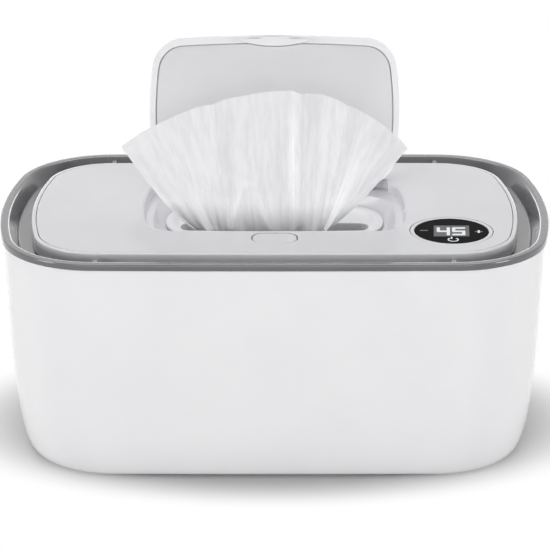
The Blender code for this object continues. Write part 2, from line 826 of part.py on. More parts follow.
def make_lid_base(look):
    """White tray under the cover: edge band, flange, tray wall with a seal groove, floor and throat."""
    top = rimTop
    fillet = lidEdgeFillet
    soft = 0.29 * fillet
    shelf = top - coverThickness - coverLip - fitGap
    flange_low = ledgeTop + fitGap
    flange_high = flange_low + flangeThickness
    floor_high = top - trayFloorDepth
    floor_low = floor_high - trayFloor
    low = top - trayDepth
    groove_high = flange_low - gasketGrooveDrop
    groove_low = groove_high - gasketGrooveHeight
    band_in = lidInset + lidEdgeWall
    throat_high = rimTop - pocketLedgeDepth - coverThickness - dishDepth - fitGap
    throat_out = -guideFlange - throatWall
    throat_in = -guideFlange
    rings = [
        at(outline(TUB, band_in), shelf),
        at(outline(TUB, band_in), top - fillet / 2),
        at(outline(TUB, band_in - fillet / 2), top),
        at(outline(TUB, lidInset + fillet), top),
        at(outline(TUB, lidInset + soft), top - soft),
        at(outline(TUB, lidInset), top - fillet),
        at(outline(TUB, lidInset), flange_low + fillet),
        at(outline(TUB, lidInset + fillet), flange_low),
        at(outline(TUB, trayInset), flange_low),
        at(outline(TUB, trayInset), groove_high),
        at(outline(TUB, trayInset + gasketGrooveDepth), groove_high),
        at(outline(TUB, trayInset + gasketGrooveDepth), groove_low),
        at(outline(TUB, trayInset), groove_low),
        at(outline(TUB, trayInset), low),
        at(outline(TUB, trayInner), low),
        at(outline(TUB, trayInner), floor_low),
        at(outline(MOUTH, throat_out), floor_low),
        at(outline(MOUTH, throat_out), low),
        at(outline(MOUTH, throat_in), low),
        at(outline(MOUTH, throat_in), throat_high),
        at(outline(MOUTH, throat_out), throat_high),
        at(outline(MOUTH, throat_out), floor_high),
        at(outline(TUB, trayInner), floor_high),
        at(outline(TUB, trayInner), flange_high),
        at(outline(TUB, band_in + shelfWidth), flange_high),
        at(outline(TUB, band_in + shelfWidth), shelf),
    ]
    base = loft("lid_base", rings, look)
    for x, y in lid_screw_places():
        cut(base, rod("cutter", (x, y, low), (x, y, floor_high + cutOverrun), screwShank + screwClearance, steps=12))
    for x, y in board_screw_places():
        board_low = board_bottom()
        join(base, rod("post", (x, y, floor_high - trayFloor / 2), (x, y, board_low - fitGap), boardPostRadius, steps=16))
        bite = board_low - fitGap - screwBite / 2
        cut(base, rod("cutter", (x, y, bite), (x, y, top), boardScrewShank + screwClearance / 2, steps=12))
    margin = windowMargin
    cut(
        base,
        box(
            "cutter",
            (fuseX - fuseRadius - margin, fuseY - fuseLength / 2 - margin, low),
            (fuseX + fuseRadius + margin, fuseY + fuseLength / 2 + margin, floor_high + cutOverrun / 2),
        ),
        box(
            "cutter",
            (sensorX - sensorRadius - margin, sensorY - sensorLength / 2 - margin, low),
            (sensorX + sensorRadius + margin, sensorY + sensorLength / 2 + margin, floor_high + cutOverrun / 2),
        ),
    )
    inlet_z = top - inletDrop
    rear = bodyWidth / 2 - lidInset
    cut(
        base,
        box(
            "cutter",
            (-inletLength / 2 - fitGap, rear - inletDepth - fitGap * 2, inlet_z - inletHeight - fitGap),
            (inletLength / 2 + fitGap, rear + cutOverrun, inlet_z + fitGap / 2),
        ),
    )
    return base


def make_lid_gasket(look):
    """Silicone ring in the tray's groove, with a lip out to the chamber wall."""
    flange_low = ledgeTop + fitGap
    high = flange_low - gasketGrooveDrop - fitGap
    low = flange_low - gasketGrooveDrop - gasketGrooveHeight + fitGap
    back = trayInset + gasketGrooveDepth - fitGap
    lip = chamberInset + ledgeEdge + fitGap * 2
    rings = [
        at(outline(TUB, back), low),
        at(outline(TUB, back), high),
        at(outline(TUB, trayInset - fitGap), high),
        at(outline(TUB, lip), (high + low) / 2 + fitGap),
        at(outline(TUB, lip), (high + low) / 2 - fitGap),
        at(outline(TUB, trayInset - fitGap), low),
    ]
    return loft("lid_gasket", rings, look)


def make_heating_plate(look):
    low = rimTop - trayDepth
    plate = frame(
        "heating_plate",
        outline(TUB, trayInner + fitGap),
        outline(MOUTH, -guideFlange - throatWall - fitGap),
        low,
        low + plateThickness,
        look,
    )
    for x, y in lid_screw_places():
        cut(plate, rod("cutter", (x, y, low - cutOverrun), (x, y, low + cutOverrun), screwShank + screwClearance, steps=12))
    return plate


def film_levels():
    floor_low = rimTop - trayFloorDepth - trayFloor
    plate_high = rimTop - trayDepth + plateThickness
    low = plate_high + (floor_low - plate_high - filmThickness) / 2
    return low, low + filmThickness


def make_heating_film(look):
    low, high = film_levels()
    film = frame(
        "heating_film",
        outline(TUB, trayInner + filmMargin),
        outline(MOUTH, -guideFlange - throatWall - filmMargin),
        low,
        high,
        look,
    )
    for x, y in lid_screw_places():
        cut(film, rod("cutter", (x, y, low - cutOverrun), (x, y, high + cutOverrun), screwShank + filmMargin / 2, steps=12))
    return film


def make_lid_screws(look):
    made = []
    seat = rimTop - trayDepth
    bite = rimTop - trayFloorDepth + fitGap + screwBite - screwClearance
    for k, (x, y) in enumerate(lid_screw_places(), 1):
        made.append(screw(f"lid_screw_{k}", x, y, seat, bite, screwShank, screwHead, screwHeadHeight, look))
    return made


def bezel_low():
    return rimTop - windowThickness - fitGap - bezelFloor


def board_top():
    return bezel_low() - fitGap - displayHeight - fitGap + bezelFloor


def board_bottom():
    return board_top() - boardThickness


def board_screw_places():
    return [(panelX + sx * boardScrewX, panelY + boardScrewY) for sx in (-1, 1)]


def make_panel(window_look, bezel_look):
    top = rimTop
    window = rod(
        "panel_window", (panelX, panelY, top - windowThickness), (panelX, panelY, top), windowRadius, window_look, steps=40
    )
    ring_in = windowRadius + fitGap
    ring_out = ring_in + bezelWidth
    low = bezel_low()
    under = top - coverThickness - fitGap
    profile = [
        (ring_in, top - windowThickness - fitGap),
        (ring_in, top),
        (ring_out, top),
        (ring_out, under),
        (ring_out + bezelGroove + bezelLip, under),
        (ring_out + bezelGroove + bezelLip, low),
        (windowRadius - bezelLip, low),
        (windowRadius - bezelLip, top - windowThickness - fitGap),
    ]
    bezel = turned("panel_bezel", panelX, panelY, profile, bezel_look, steps=40)
    return window, bezel


def make_board(board_look, display_look, spring_look, screw_look):
    high = board_top()
    low = board_bottom()
    board = rod("control_board", (panelX, panelY, low), (panelX, panelY, high), boardRadius, board_look, steps=32)
    for x, y in board_screw_places():
        cut(board, rod("cutter", (x, y, low - cutOverrun), (x, y, high + cutOverrun), boardScrewShank + screwClearance, steps=12))
    display_low = high + fitGap
    display = box(
        "display_module",
        (panelX - displayLength / 2, panelY - displayWidth / 2, display_low),
        (panelX + displayLength / 2, panelY + displayWidth / 2, display_low + displayHeight),
        display_look,
    )
    pieces = [board, display]
    spring_high = rimTop - windowThickness - fitGap
    places = {
        "touch_spring_minus": (panelX - touchReach, panelY),
        "touch_spring_plus": (panelX + touchReach, panelY),
        "touch_spring_power": (panelX, panelY - powerReach),
    }
    for name, (x, y) in places.items():
        pieces.append(
            coil(
                name,
                Vector((x, y, high + fitGap)),
                Vector((x, y, spring_high)),
                touchSpringRadius,
                touchSpringWire,
                touchSpringCurls,
                spring_look,
            )
        )
    for k, (x, y) in enumerate(board_screw_places(), 1):
        rings = [
            at(circle(x, y, boardScrewShank, 12), low - screwBite / 2 + screwClearance),
            at(circle(x, y, boardScrewShank, 12), high + fitGap),
            at(circle(x, y, boardScrewHead, 12), high + fitGap),
            at(circle(x, y, boardScrewHead * 0.8, 12), high + fitGap + boardScrewHeadHeight),
        ]
        pieces.append(loft(f"board_screw_{k}", rings, screw_look, closed=False))
    return pieces


def coil(name, start, stop, radius, wire, curls, look, points=8):
    """Round wire wound evenly from start to stop, its ends straight along the axis for one diameter."""
    way = stop - start
    length = way.length
    axis = way / length
    side = axis.orthogonal().normalized()
    other = axis.cross(side)
    lead = 2 * wire
    route = [start + side * radius]
    total = curls * points
    for k in range(total + 1):
        turn = 2 * math.pi * k / points
        along = lead + (length - 2 * lead) * k / total
        route.append(start + axis * along + radius * (side * math.cos(turn) + other * math.sin(turn)))
    route.append(stop + side * radius * math.cos(2 * math.pi * curls) + other * radius * math.sin(2 * math.pi * curls))
    print(f"{name}: least gap to itself {1000 * self_gap(route, wire, points):.2f} mm")
    return tube(name, route, wire, look, 1)


def self_gap(route, wire, points):
    """Least distance between turns of the route, less one wire diameter."""
    found = []
    for i in range(len(route)):
        for j in range(i + points // 2 + 1, len(route)):
            found.append((route[i] - route[j]).length)
    return min(found) - 2 * wire


def tube(name, route, radius, look, resolution):
    curve = bpy.data.curves.new(name, "CURVE")
    curve.dimensions = "3D"
    curve.bevel_depth = radius
    curve.bevel_resolution = resolution
    curve.use_fill_caps = True
    spline = curve.splines.new("POLY")
    spline.points.add(len(route) - 1)
    for point, place in zip(spline.points, route):
        point.co = (*place, 1)
    curve.materials.append(look)
    made = bpy.data.objects.new(name, curve)
    bpy.context.collection.objects.link(made)
    return made


def smooth_route(places, steps=6):
    """Points on a Catmull-Rom curve through the places."""
    ends = [places[0] * 2 - places[1]] + places + [places[-1] * 2 - places[-2]]
    route = []
    for k in range(1, len(ends) - 2):
        a, b, c, d = ends[k - 1 : k + 3]
        for s in range(steps):
            t = s / steps
            route.append(
                0.5 * (2 * b + (c - a) * t + (2 * a - 5 * b + 4 * c - d) * t**2 + (3 * b - a - 3 * c + d) * t**3)
            )
    route.append(places[-1])
    return route


def make_power_inlet(look):
    """Oval low-voltage inlet with a tongue inside, open to the rear."""
    high = rimTop - inletDrop
    low = high - inletHeight
    rear = bodyWidth / 2 - lidInset - fitGap
    front = rear - inletDepth
    half = inletLength / 2
    middle = (high + low) / 2
    radius = inletHeight / 2

    def oval(shrink):
        turns = [math.pi * k / 8 - math.pi / 2 for k in range(9)]
        right = [(half - radius + (radius - shrink) * math.cos(t), middle + (radius - shrink) * math.sin(t)) for t in turns]
        return right + [(-x, z) for x, z in reversed(right)]

    body = loft("power_inlet", [[Vector((x, y, z)) for x, z in oval(0)] for y in (front, rear)], look, closed=False)
    mouth = [[Vector((x, y, z)) for x, z in oval(inletShell)] for y in (front + inletBlind, rear + cutOverrun)]
    cut(body, loft("cutter", mouth, closed=False))
    join(
        body,
        box(
            "tongue",
            (-half + radius, front + inletBlind / 2, middle - inletTongue / 2),
            (half - radius, rear - inletBlind / 2, middle + inletTongue / 2),
        ),
    )
    return body


def make_sensors(sensor_look, fuse_look):
    low = film_levels()[1] + fitGap
    sensor_z = low + sensorRadius
    fuse_z = low + fuseRadius
    sensor = rod(
        "temperature_sensor",
        (sensorX, sensorY - sensorLength / 2, sensor_z),
        (sensorX, sensorY + sensorLength / 2, sensor_z),
        sensorRadius,
        sensor_look,
        steps=12,
    )
    fuse = rod(
        "thermal_fuse",
        (fuseX, fuseY - fuseLength / 2, fuse_z),
        (fuseX, fuseY + fuseLength / 2, fuse_z),
        fuseRadius,
        fuse_look,
        steps=14,
    )
    return sensor, fuse


def make_leads(power_look, heater_look, sensor_look):
    """Insulated leads from the inlet, fuse and sensor to the board's rear edge."""
    board_mid = (board_top() + board_bottom()) / 2
    edge_y = panelY + boardRadius
    inlet_z = rimTop - inletDrop - inletHeight / 2
    inlet_y = bodyWidth / 2 - lidInset - fitGap - inletDepth - fitGap
    over_z = rimTop - trayFloorDepth + fitGap + leadRadius
    strip_y = (pocketRear + pocketWall + bodyWidth / 2 - trayInner) / 2
    run_x = pocketHalfLength + pocketWall
    low_z = board_bottom() - leadRadius * 2
    power = [
        Vector((0, inlet_y, inlet_z)),
        Vector((0, inlet_y - leadRadius * 3, inlet_z)),
        Vector((lidScrewFrontX / 3, strip_y - leadRadius, inlet_z - leadRadius * 2)),
        Vector((lidScrewFrontX, strip_y - lidPostRadius - leadRadius, board_mid)),
        Vector((run_x + leadRadius * 3, (strip_y + edge_y) / 2, board_mid)),
        Vector((panelX - leadRadius * 4, edge_y + leadRadius * 8, board_mid)),
        Vector((panelX - leadRadius * 3, edge_y + leadRadius, board_mid)),
    ]
    heater = [
        Vector((fuseX, fuseY - fuseLength / 2 - fitGap, over_z)),
        Vector((fuseX, fuseY - fuseLength / 2 - 3 * leadRadius, over_z)),
        Vector((fuseX, (fuseY - fuseLength / 2 + edge_y) / 2 - windowMargin, (over_z + board_mid) / 2)),
        Vector((fuseX, edge_y + leadRadius * 2, board_mid)),
        Vector((fuseX, edge_y + leadRadius, board_mid)),
    ]
    sensor = [
        Vector((sensorX, sensorY - sensorLength / 2 - fitGap, over_z)),
        Vector((sensorX, sensorY - sensorLength / 2 - 3 * leadRadius, over_z)),
        Vector((sensorX + leadRadius, (sensorY + edge_y) / 2, low_z)),
        Vector((panelX, edge_y + leadRadius * 5, (board_mid + low_z) / 2)),
        Vector((panelX, edge_y + leadRadius, board_mid)),
    ]
    return (
        tube("inlet_lead", smooth_route(power), leadRadius, power_look, 2),
        tube("heater_lead", smooth_route(heater, 4), leadRadius, heater_look, 2),
        tube("sensor_lead", smooth_route(sensor, 4), leadRadius, sensor_look, 2),
    )


def make_wipe_guide(look):
    """Insert in the mouth: a flange on the dish, a shallow funnel and a neck round the slot."""
    seat = rimTop - pocketLedgeDepth - dishDepth + 2 * fitGap
    thick = guideThickness
    neck_low = seat - guideDip - guideNeck
    rings = [
        at(outline(MOUTH, -guideFlange), seat + thick / 2),
        at(outline(MOUTH, -guideFlange + thick / 2), seat + thick),
        at(outline(MOUTH, thick), seat + thick),
        at(blend(outline(MOUTH, thick), outline(SLOT), 0.6), seat + thick - guideDip * 0.75),
        at(outline(SLOT), seat + thick - guideDip),
        at(outline(SLOT), neck_low),
        at(outline(SLOT, -thick), neck_low),
        at(outline(SLOT, -thick), seat - guideDip),
        at(blend(outline(MOUTH, thick), outline(SLOT), 0.5), seat - guideDip * 0.75),
        at(outline(MOUTH, fitGap * 2), seat - coverThickness / 2),
        at(outline(MOUTH, fitGap * 2), seat),
        at(outline(MOUTH, -guideFlange), seat),
    ]
    return loft("wipe_guide", rings, look)


def make_flip_lid(look, panel_look):
    """Flip lid and its inner panel, modelled closed; the pivot turns them open."""
    top = rimTop
    fillet = flipFillet
    soft = 0.29 * fillet
    low = top - flipThickness
    shell = [
        at(outline(FLIP_PANEL), top - flipSkin),
        at(outline(FLIP_PANEL), low),
        at(outline(FLIP, fillet / 2), low),
        at(outline(FLIP, 0), low + fillet / 2),
        at(outline(FLIP, 0), top - fillet),
        at(outline(FLIP, soft), top - soft),
        at(outline(FLIP, fillet), top),
    ]
    lid = loft("flip_lid", shell, look, closed=False)
    near = hingeRear - notchFront
    far = flipRear + cutOverrun
    for side in (-1, 1):
        inner, bay, knuckle, outer = hinge_spans(side)
        for spans in ((inner, bay), (outer,)):
            start = min(span[0] for span in spans) - hingeSideGap
            stop = max(span[1] for span in spans) + hingeSideGap
            cut(lid, box("cutter", (start, near, low - cutOverrun), (stop, far, top + cutOverrun)))
        join(lid, rod("knuckle", (knuckle[0], hingeRear, hingeZ), (knuckle[1], hingeRear, hingeZ), knuckleRadius))
        start = min(inner[0], outer[0])
        stop = max(inner[1], outer[1])
        cut(lid, rod("cutter", (start, hingeRear, hingeZ), (stop, hingeRear, hingeZ), pinRadius + pinRunningGap))
    join(lid, catch())
    high = top - flipSkin - fitGap
    panel = prism("flip_lid_panel", outline(FLIP_PANEL, fitGap), low + flipPanelRecess, high, panel_look)
    for side in (-1, 1):
        spans = hinge_spans(side)
        start = min(span[0] for span in spans) - hingeSideGap
        stop = max(span[1] for span in spans) + hingeSideGap
        notch_near = hingeRear - notchFront - fitGap
        cut(panel, box("cutter", (start, notch_near, low - cutOverrun), (stop, flipRear + cutOverrun, top)))
    cut(panel, crescent("cutter", fitGap, low - cutOverrun, top))
    return lid, panel


def crescent(name, grow, low, high):
    """Block under the flip lid's front edge with a flat front and a back that bows to the rear."""
    face = -(flipFront - catchSetBack) - grow
    half = catchHalfLength + grow
    depth = catchThickness + 2 * grow
    steps = 8
    front = [(half * (2 * k / steps - 1), face) for k in range(steps + 1)]
    back = [
        (half * (1 - 2 * k / steps), face + depth + catchBulge * (1 - (2 * k / steps - 1) ** 2)) for k in range(steps + 1)
    ]
    return prism(name, [Vector(p) for p in front + back], low, high)


def catch():
    """Crescent lip under the flip lid's front edge, with a hook that faces the front."""
    top = rimTop - flipThickness
    face = -(flipFront - catchSetBack)
    lip = crescent("lip", 0, top - catchDrop, top + flipFillet)
    hook = box(
        "hook",
        (-noseHalfWidth - hingeSideGap, face - catchLip, top - catchDrop),
        (noseHalfWidth + hingeSideGap, face + catchThickness / 2, top - catchDrop + catchLipHeight),
    )
    join(lip, hook)
    return lip


def make_hinge_hardware(pin_look, spring_look):
    pieces = []
    for side, word in ((-1, "left"), (1, "right")):
        inner, bay, knuckle, outer = hinge_spans(side)
        low = min(inner[0], outer[0]) + earWidth / 4 + fitGap
        high = max(inner[1], outer[1]) - earWidth / 4 - fitGap
        pieces.append(
            rod(f"hinge_pin_{word}", (low, hingeRear, hingeZ), (high, hingeRear, hingeZ), pinRadius, pin_look, steps=roundSteps)
        )
        pieces.append(torsion_spring(f"torsion_spring_{word}", bay, side, spring_look))
    return pieces


def torsion_spring(name, bay, side, look, points=8):
    """Coil round the hinge pin with one leg on the pocket ledge and one up along the open flip lid."""
    start = bay[0] + torsionWire * 2 + fitGap
    stop = bay[1] - torsionWire * 2 - fitGap
    if side < 0:
        start, stop = stop, start
    total = torsionCurls * points
    rest = -math.pi / 2
    ledge_leg = stopReach - 2 * torsionWire
    route = [Vector((start, hingeRear + ledge_leg, hingeZ - torsionRadius))]
    route.append(Vector((start, hingeRear + ledge_leg / 2, hingeZ - torsionRadius)))
    sweep = 2 * math.pi * torsionCurls
    for k in range(total + 1):
        turn = rest - sweep * k / total
        x = start + (stop - start) * k / total
        route.append(Vector((x, hingeRear + torsionRadius * math.cos(turn), hingeZ + torsionRadius * math.sin(turn))))
    last = rest - sweep
    tangent = Vector((0, math.sin(last), -math.cos(last)))
    route.append(route[-1] + tangent * torsionLeg / 2)
    route.append(route[-1] + tangent * torsionLeg / 2)
    print(f"{name}: least gap to itself {1000 * self_gap(route[2:-2], torsionWire, points):.2f} mm")
    return tube(name, route, torsionWire, look, 1)


def make_latch(button_look, slide_look, spring_look):
    top = rimTop
    cap_low = top - buttonThickness
    button = loft(
        "latch_button",
        [
            at(outline(BUTTON), cap_low),
            at(outline(BUTTON), top - buttonGap),
            at(outline(BUTTON, buttonGap), top),
        ],
        button_look,
        closed=False,
    )
    slide_front = latch_slide_front()
    slide_rear = slide_front + slideLength
    slide_high = top - slideTop
    slide_low = slide_high - slideThickness
    wedge_low = slide_low - buttonTravel / 2
    middle = slide_front + slideLength / 2
    face_top = middle - wedgeReach / 2
    drop = cap_low - wedge_low
    profile = [
        (middle + wedgeReach / 2, cap_low + buttonGap),
        (face_top, cap_low + buttonGap),
        (face_top, cap_low),
        (face_top + latchTravelShare * drop, wedge_low),
        (middle + wedgeReach / 2, wedge_low),
    ]
    wedge = loft(
        "wedge",
        [[Vector((x, y, z)) for y, z in profile] for x in (-wedgeHalfWidth, wedgeHalfWidth)],
        closed=False,
    )
    join(button, wedge)
    slide = box(
        "latch_slide",
        (-slideHalfWidth, slide_front, slide_low),
        (slideHalfWidth, slide_rear, slide_high),
        slide_look,
    )
    nose_tip = -(flipFront - catchSetBack) - fitGap
    join(
        slide,
        box(
            "nose",
            (-noseHalfWidth, slide_rear - slideLength / 4, slide_high - noseThickness),
            (noseHalfWidth, nose_tip, slide_high),
        ),
    )

    def wedge_face(z):
        return face_top + latchTravelShare * (cap_low - z)

    reach = buttonTravel + fitGap
    window_rear = middle + wedgeReach / 2 + fitGap + latchTravelShare * buttonTravel
    window = [
        (wedge_face(slide_low - reach) - wedgeGap, slide_low - reach),
        (wedge_face(slide_high + reach) - wedgeGap, slide_high + reach),
        (window_rear, slide_high + reach),
        (window_rear, slide_low - reach),
    ]
    opening = loft(
        "cutter",
        [[Vector((x, y, z)) for y, z in window] for x in (-wedgeHalfWidth - fitGap, wedgeHalfWidth + fitGap)],
        closed=False,
    )
    cut(slide, opening)
    spring_z = (slide_high + slide_low) / 2
    spring = coil(
        "latch_spring",
        Vector((0, latch_spring_front(), spring_z)),
        Vector((0, slide_front - fitGap, spring_z)),
        latchSpringRadius,
        latchSpringWire,
        latchSpringCurls,
        spring_look,
    )
    return button, slide, spring


def wipe_point(u, v):
    """Middle of the sheet: u runs from left to right, v from the tail's end to the free edge."""
    seat = rimTop - pocketLedgeDepth - dishDepth
    tail = seat - wipeTailDrop
    neck = seat - guideDip
    mouth_x = wipeMouthLeft + (wipeMouthRight - wipeMouthLeft) * u
    fan_x = wipeLeft + (wipeRight - wipeLeft) * u
    arch = 1 - abs(2 * u - 1) ** 2.2
    edge_z = rimTop + wipeCornerHeight + (wipeTop - wipeCornerHeight) * arch
    split = 0.22
    phase = 2 * math.pi * wipeFoldCount * u
    if v < split:
        share = v / split
        z = tail + (neck - tail) * share
        return Vector((mouth_x, wipeNeckFold * math.cos(phase), z))
    share = (v - split) / (1 - split)
    z = neck + (edge_z - neck) * share
    spread = share ** 0.8
    x = mouth_x + (fan_x - mouth_x) * spread
    lean = wipeTopLean * share**1.3
    fold = wipeNeckFold + (wipeFold - wipeNeckFold) * share
    ripple = 1 + 0.35 * math.sin(phase * 0.5 + 0.6) * share
    return Vector((x, lean + fold * ripple * math.cos(phase + 0.5 * share), z))


def make_wipe(look):
    """Moist tissue drawn up through the slot, pleated at the neck and fanned above it."""
    grid = [[wipe_point(i / wipeColumns, j / wipeRows) for i in range(wipeColumns + 1)] for j in range(wipeRows + 1)]
    bm = bmesh.new()
    sides = []
    for sign in (-1, 1):
        rows = []
        for j in range(wipeRows + 1):
            row = []
            for i in range(wipeColumns + 1):
                across = grid[j][min(i + 1, wipeColumns)] - grid[j][max(i - 1, 0)]
                upward = grid[min(j + 1, wipeRows)][i] - grid[max(j - 1, 0)][i]
                normal = across.cross(upward).normalized()
                row.append(bm.verts.new(grid[j][i] + sign * normal * wipeThickness / 2))
            rows.append(row)
        sides.append(rows)
    back, front = sides
    for j in range(wipeRows):
        for i in range(wipeColumns):
            for rows in (back, front):
                bm.faces.new((rows[j][i], rows[j][i + 1], rows[j + 1][i + 1], rows[j + 1][i]))
    for i in range(wipeColumns):
        for j in (0, wipeRows):
            bm.faces.new((back[j][i], back[j][i + 1], front[j][i + 1], front[j][i]))
    for j in range(wipeRows):
        for i in (0, wipeColumns):
            bm.faces.new((back[j][i], back[j + 1][i], front[j + 1][i], front[j][i]))
    return mesh_object("wipe", bm, look)


def main():
    clear_scene()
    shell_white = material("shell_white", (0.86, 0.86, 0.87), 0.22)
    liner_grey = material("liner_grey", (0.27, 0.27, 0.28), 0.42)
    lid_white = material("lid_white", (0.80, 0.80, 0.82), 0.18)
    panel_grey = material("panel_grey", (0.70, 0.70, 0.72), 0.35)
    silicone = material("silicone", (0.72, 0.73, 0.74), 0.55)
    rubber = material("rubber", (0.12, 0.12, 0.12), 0.8)
    steel = material("steel", (0.62, 0.62, 0.62), 0.3, 1.0)
    aluminium = material("aluminium", (0.75, 0.76, 0.77), 0.35, 1.0)
    film_orange = material("film_orange", (0.62, 0.28, 0.06), 0.45)
    board_green = material("board_green", (0.02, 0.16, 0.07), 0.5)
    black_gloss = material("black_gloss", (0.01, 0.01, 0.012), 0.12)
    black_plastic = material("black_plastic", (0.03, 0.03, 0.03), 0.5)
    lead_red = material("lead_red", (0.45, 0.03, 0.03), 0.5)
    tissue = material("tissue", (0.90, 0.90, 0.90), 0.85)

    make_outer_shell(shell_white)
    make_inner_liner(liner_grey)
    make_feet(rubber)
    make_tub_screws(steel)

    lid = empty("lid_lift_axis", (0, 0, rimTop))
    cover = make_lid_cover(lid_white)
    base = make_lid_base(lid_white)
    gasket = make_lid_gasket(silicone)
    plate = make_heating_plate(aluminium)
    film = make_heating_film(film_orange)
    lid_screws = make_lid_screws(steel)
    window, bezel = make_panel(black_gloss, lid_white)
    board_pieces = make_board(board_green, black_plastic, steel, steel)
    inlet = make_power_inlet(black_plastic)
    sensor, fuse = make_sensors(black_plastic, steel)
    leads = make_leads(black_plastic, lead_red, lead_red)
    guide = make_wipe_guide(silicone)
    hardware = make_hinge_hardware(steel, steel)
    wipe = make_wipe(tissue)
    hang(lid, cover, base, gasket, plate, film, *lid_screws, window, bezel, *board_pieces)
    hang(lid, inlet, sensor, fuse, *leads, guide, *hardware, wipe)

    pivot = empty("flip_lid_axis", (0, hingeRear, hingeZ))
    hang(pivot, *make_flip_lid(lid_white, panel_grey))
    pivot.rotation_euler = (-openAngle, 0, 0)

    press = empty("latch_button_axis", (BUTTON["x"], BUTTON["y"], rimTop))
    button, slide, spring = make_latch(lid_white, lid_white, steel)
    hang(press, button)
    hang(lid, slide, spring)


main()
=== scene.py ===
import math

import bmesh
import bpy
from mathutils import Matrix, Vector


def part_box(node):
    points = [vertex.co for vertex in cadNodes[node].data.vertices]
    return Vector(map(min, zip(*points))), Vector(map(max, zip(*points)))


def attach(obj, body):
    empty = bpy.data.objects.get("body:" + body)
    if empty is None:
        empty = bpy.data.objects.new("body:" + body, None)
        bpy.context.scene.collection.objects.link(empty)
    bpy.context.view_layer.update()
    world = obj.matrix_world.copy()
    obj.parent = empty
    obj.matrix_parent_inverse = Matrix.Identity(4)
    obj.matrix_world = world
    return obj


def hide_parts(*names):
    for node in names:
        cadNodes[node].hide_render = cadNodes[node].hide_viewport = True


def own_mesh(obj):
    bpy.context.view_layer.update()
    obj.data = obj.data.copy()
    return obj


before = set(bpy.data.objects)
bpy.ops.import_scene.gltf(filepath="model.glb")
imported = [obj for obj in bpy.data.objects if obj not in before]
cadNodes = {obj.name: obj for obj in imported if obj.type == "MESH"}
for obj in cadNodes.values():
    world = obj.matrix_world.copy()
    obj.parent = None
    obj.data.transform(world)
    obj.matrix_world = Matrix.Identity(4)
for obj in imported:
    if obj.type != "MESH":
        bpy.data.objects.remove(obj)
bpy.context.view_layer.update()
print("frame loaded,", len(cadNodes), "parts")

# the photograph's view
cameraView = {"place": (0.00019, -1.0158, 0.4538), "pitch": 69.265, "lens": 159.25}


def setCamera():
    deselect()
    pitch = (math.radians(cameraView["pitch"]), 0, 0)
    bpy.ops.object.camera_add(location=cameraView["place"], rotation=pitch)
    bpy.context.object.data.lens = cameraView["lens"]
    bpy.context.scene.camera = bpy.context.object


# heights shared by the pieces, in metres above the floor
rim = 0.1020
ledge = 0.0949
shellTop = 0.0988
pocketLedge = 0.0976
tubFloor = 0.0140
trayLow = 0.0838

# ovals seen from above: bowed sides, bowed ends and round corners
plainOval = {"y": 0, "side": 0.7, "end": 0.15}
tubOval = dict(plainOval, length=0.2400, width=0.1499, side=5.2, end=0.208, corner=0.0412)
pocketOval = dict(plainOval, y=0.00155, length=0.1150, width=0.0705, corner=0.0145)
dishOval = dict(pocketOval, y=-0.00075, length=0.1066, width=0.0567)
mouthOval = dict(plainOval, length=0.0920, width=0.0400, end=0.03, corner=0.017)
slotOval = dict(plainOval, length=0.0830, width=0.0116, end=0.008, corner=0.0036)
flipOval = dict(pocketOval, y=0.00175, length=0.1134, width=0.0693)
flipPanelOval = dict(flipOval, length=0.1080, width=0.0621, corner=0.0118)
recessOval = dict(tubOval, y=0.0328, length=0.1028, width=0.0105, end=0.15, corner=0.003)
backingOval = dict(recessOval, y=0.035977, length=0.1062, width=0.007553)
buttonOval = dict(plainOval, y=-0.0418, length=0.0190, width=0.0120, corner=0.005)

# steps along each stretch of a quarter oval, in a fillet and in a bevel, and sides of what is round
fineness = {"end": 8, "corner": 26, "side": 10, "fillet": 5, "bevel": 4}
facets = {"screw": 24, "pin": 32, "lug": 48, "dial": 96}
# a fillet's holding rings lie this much further out, and it takes at most this share of a flat
fillet = {"hold": 1.25, "most": 0.48}
# how far a cutter reaches past the face that it cuts
past = 0.004
sameCorner = 0.000001
smoothAngle = math.radians(32)


def ovalPoints(oval, inset=0.0, gain=0.0):
    halfX = oval["length"] / 2
    halfY = oval["width"] / 2
    corner = oval["corner"] + gain
    sideCentre = Vector((0, halfY - oval["side"]))
    endCentre = Vector((halfX - oval["end"], 0))
    span = endCentre - sideCentre
    sideReach = oval["side"] - corner
    endReach = oval["end"] - corner
    along = (sideReach**2 - endReach**2 + span.length_squared) / (2 * span.length)
    across = math.sqrt(max(sideReach**2 - along**2, 0))
    unit = span.normalized()
    centre = sideCentre + unit * along + Vector((unit.y, -unit.x)) * across
    turnEnd = math.atan2(centre.y - endCentre.y, centre.x - endCentre.x)
    turnSide = math.atan2(centre.y - sideCentre.y, centre.x - sideCentre.x)
    quarter = [Vector((halfX - inset, 0))]
    for middle, radius, start, stop, steps in (
        (endCentre, oval["end"] - inset, 0, turnEnd, fineness["end"]),
        (centre, corner - inset, turnEnd, turnSide, fineness["corner"]),
        (sideCentre, oval["side"] - inset, turnSide, math.pi / 2, fineness["side"]),
    ):
        for k in range(1, steps + 1):
            turn = start + (stop - start) * k / steps
            quarter.append(middle + radius * Vector((math.cos(turn), math.sin(turn))))
    half = quarter + [Vector((-p.x, p.y)) for p in reversed(quarter[:-1])]
    whole = half + [Vector((p.x, -p.y)) for p in reversed(half[1:-1])]
    return [Vector((p.x, p.y + oval["y"])) for p in whole]


def ring(oval, inset, height, soft=0.0, gain=0.0):
    # one ring of a skin: its points, and how far its edge is softened
    return [Vector((p.x, p.y, height)) for p in ovalPoints(oval, inset, gain)], soft


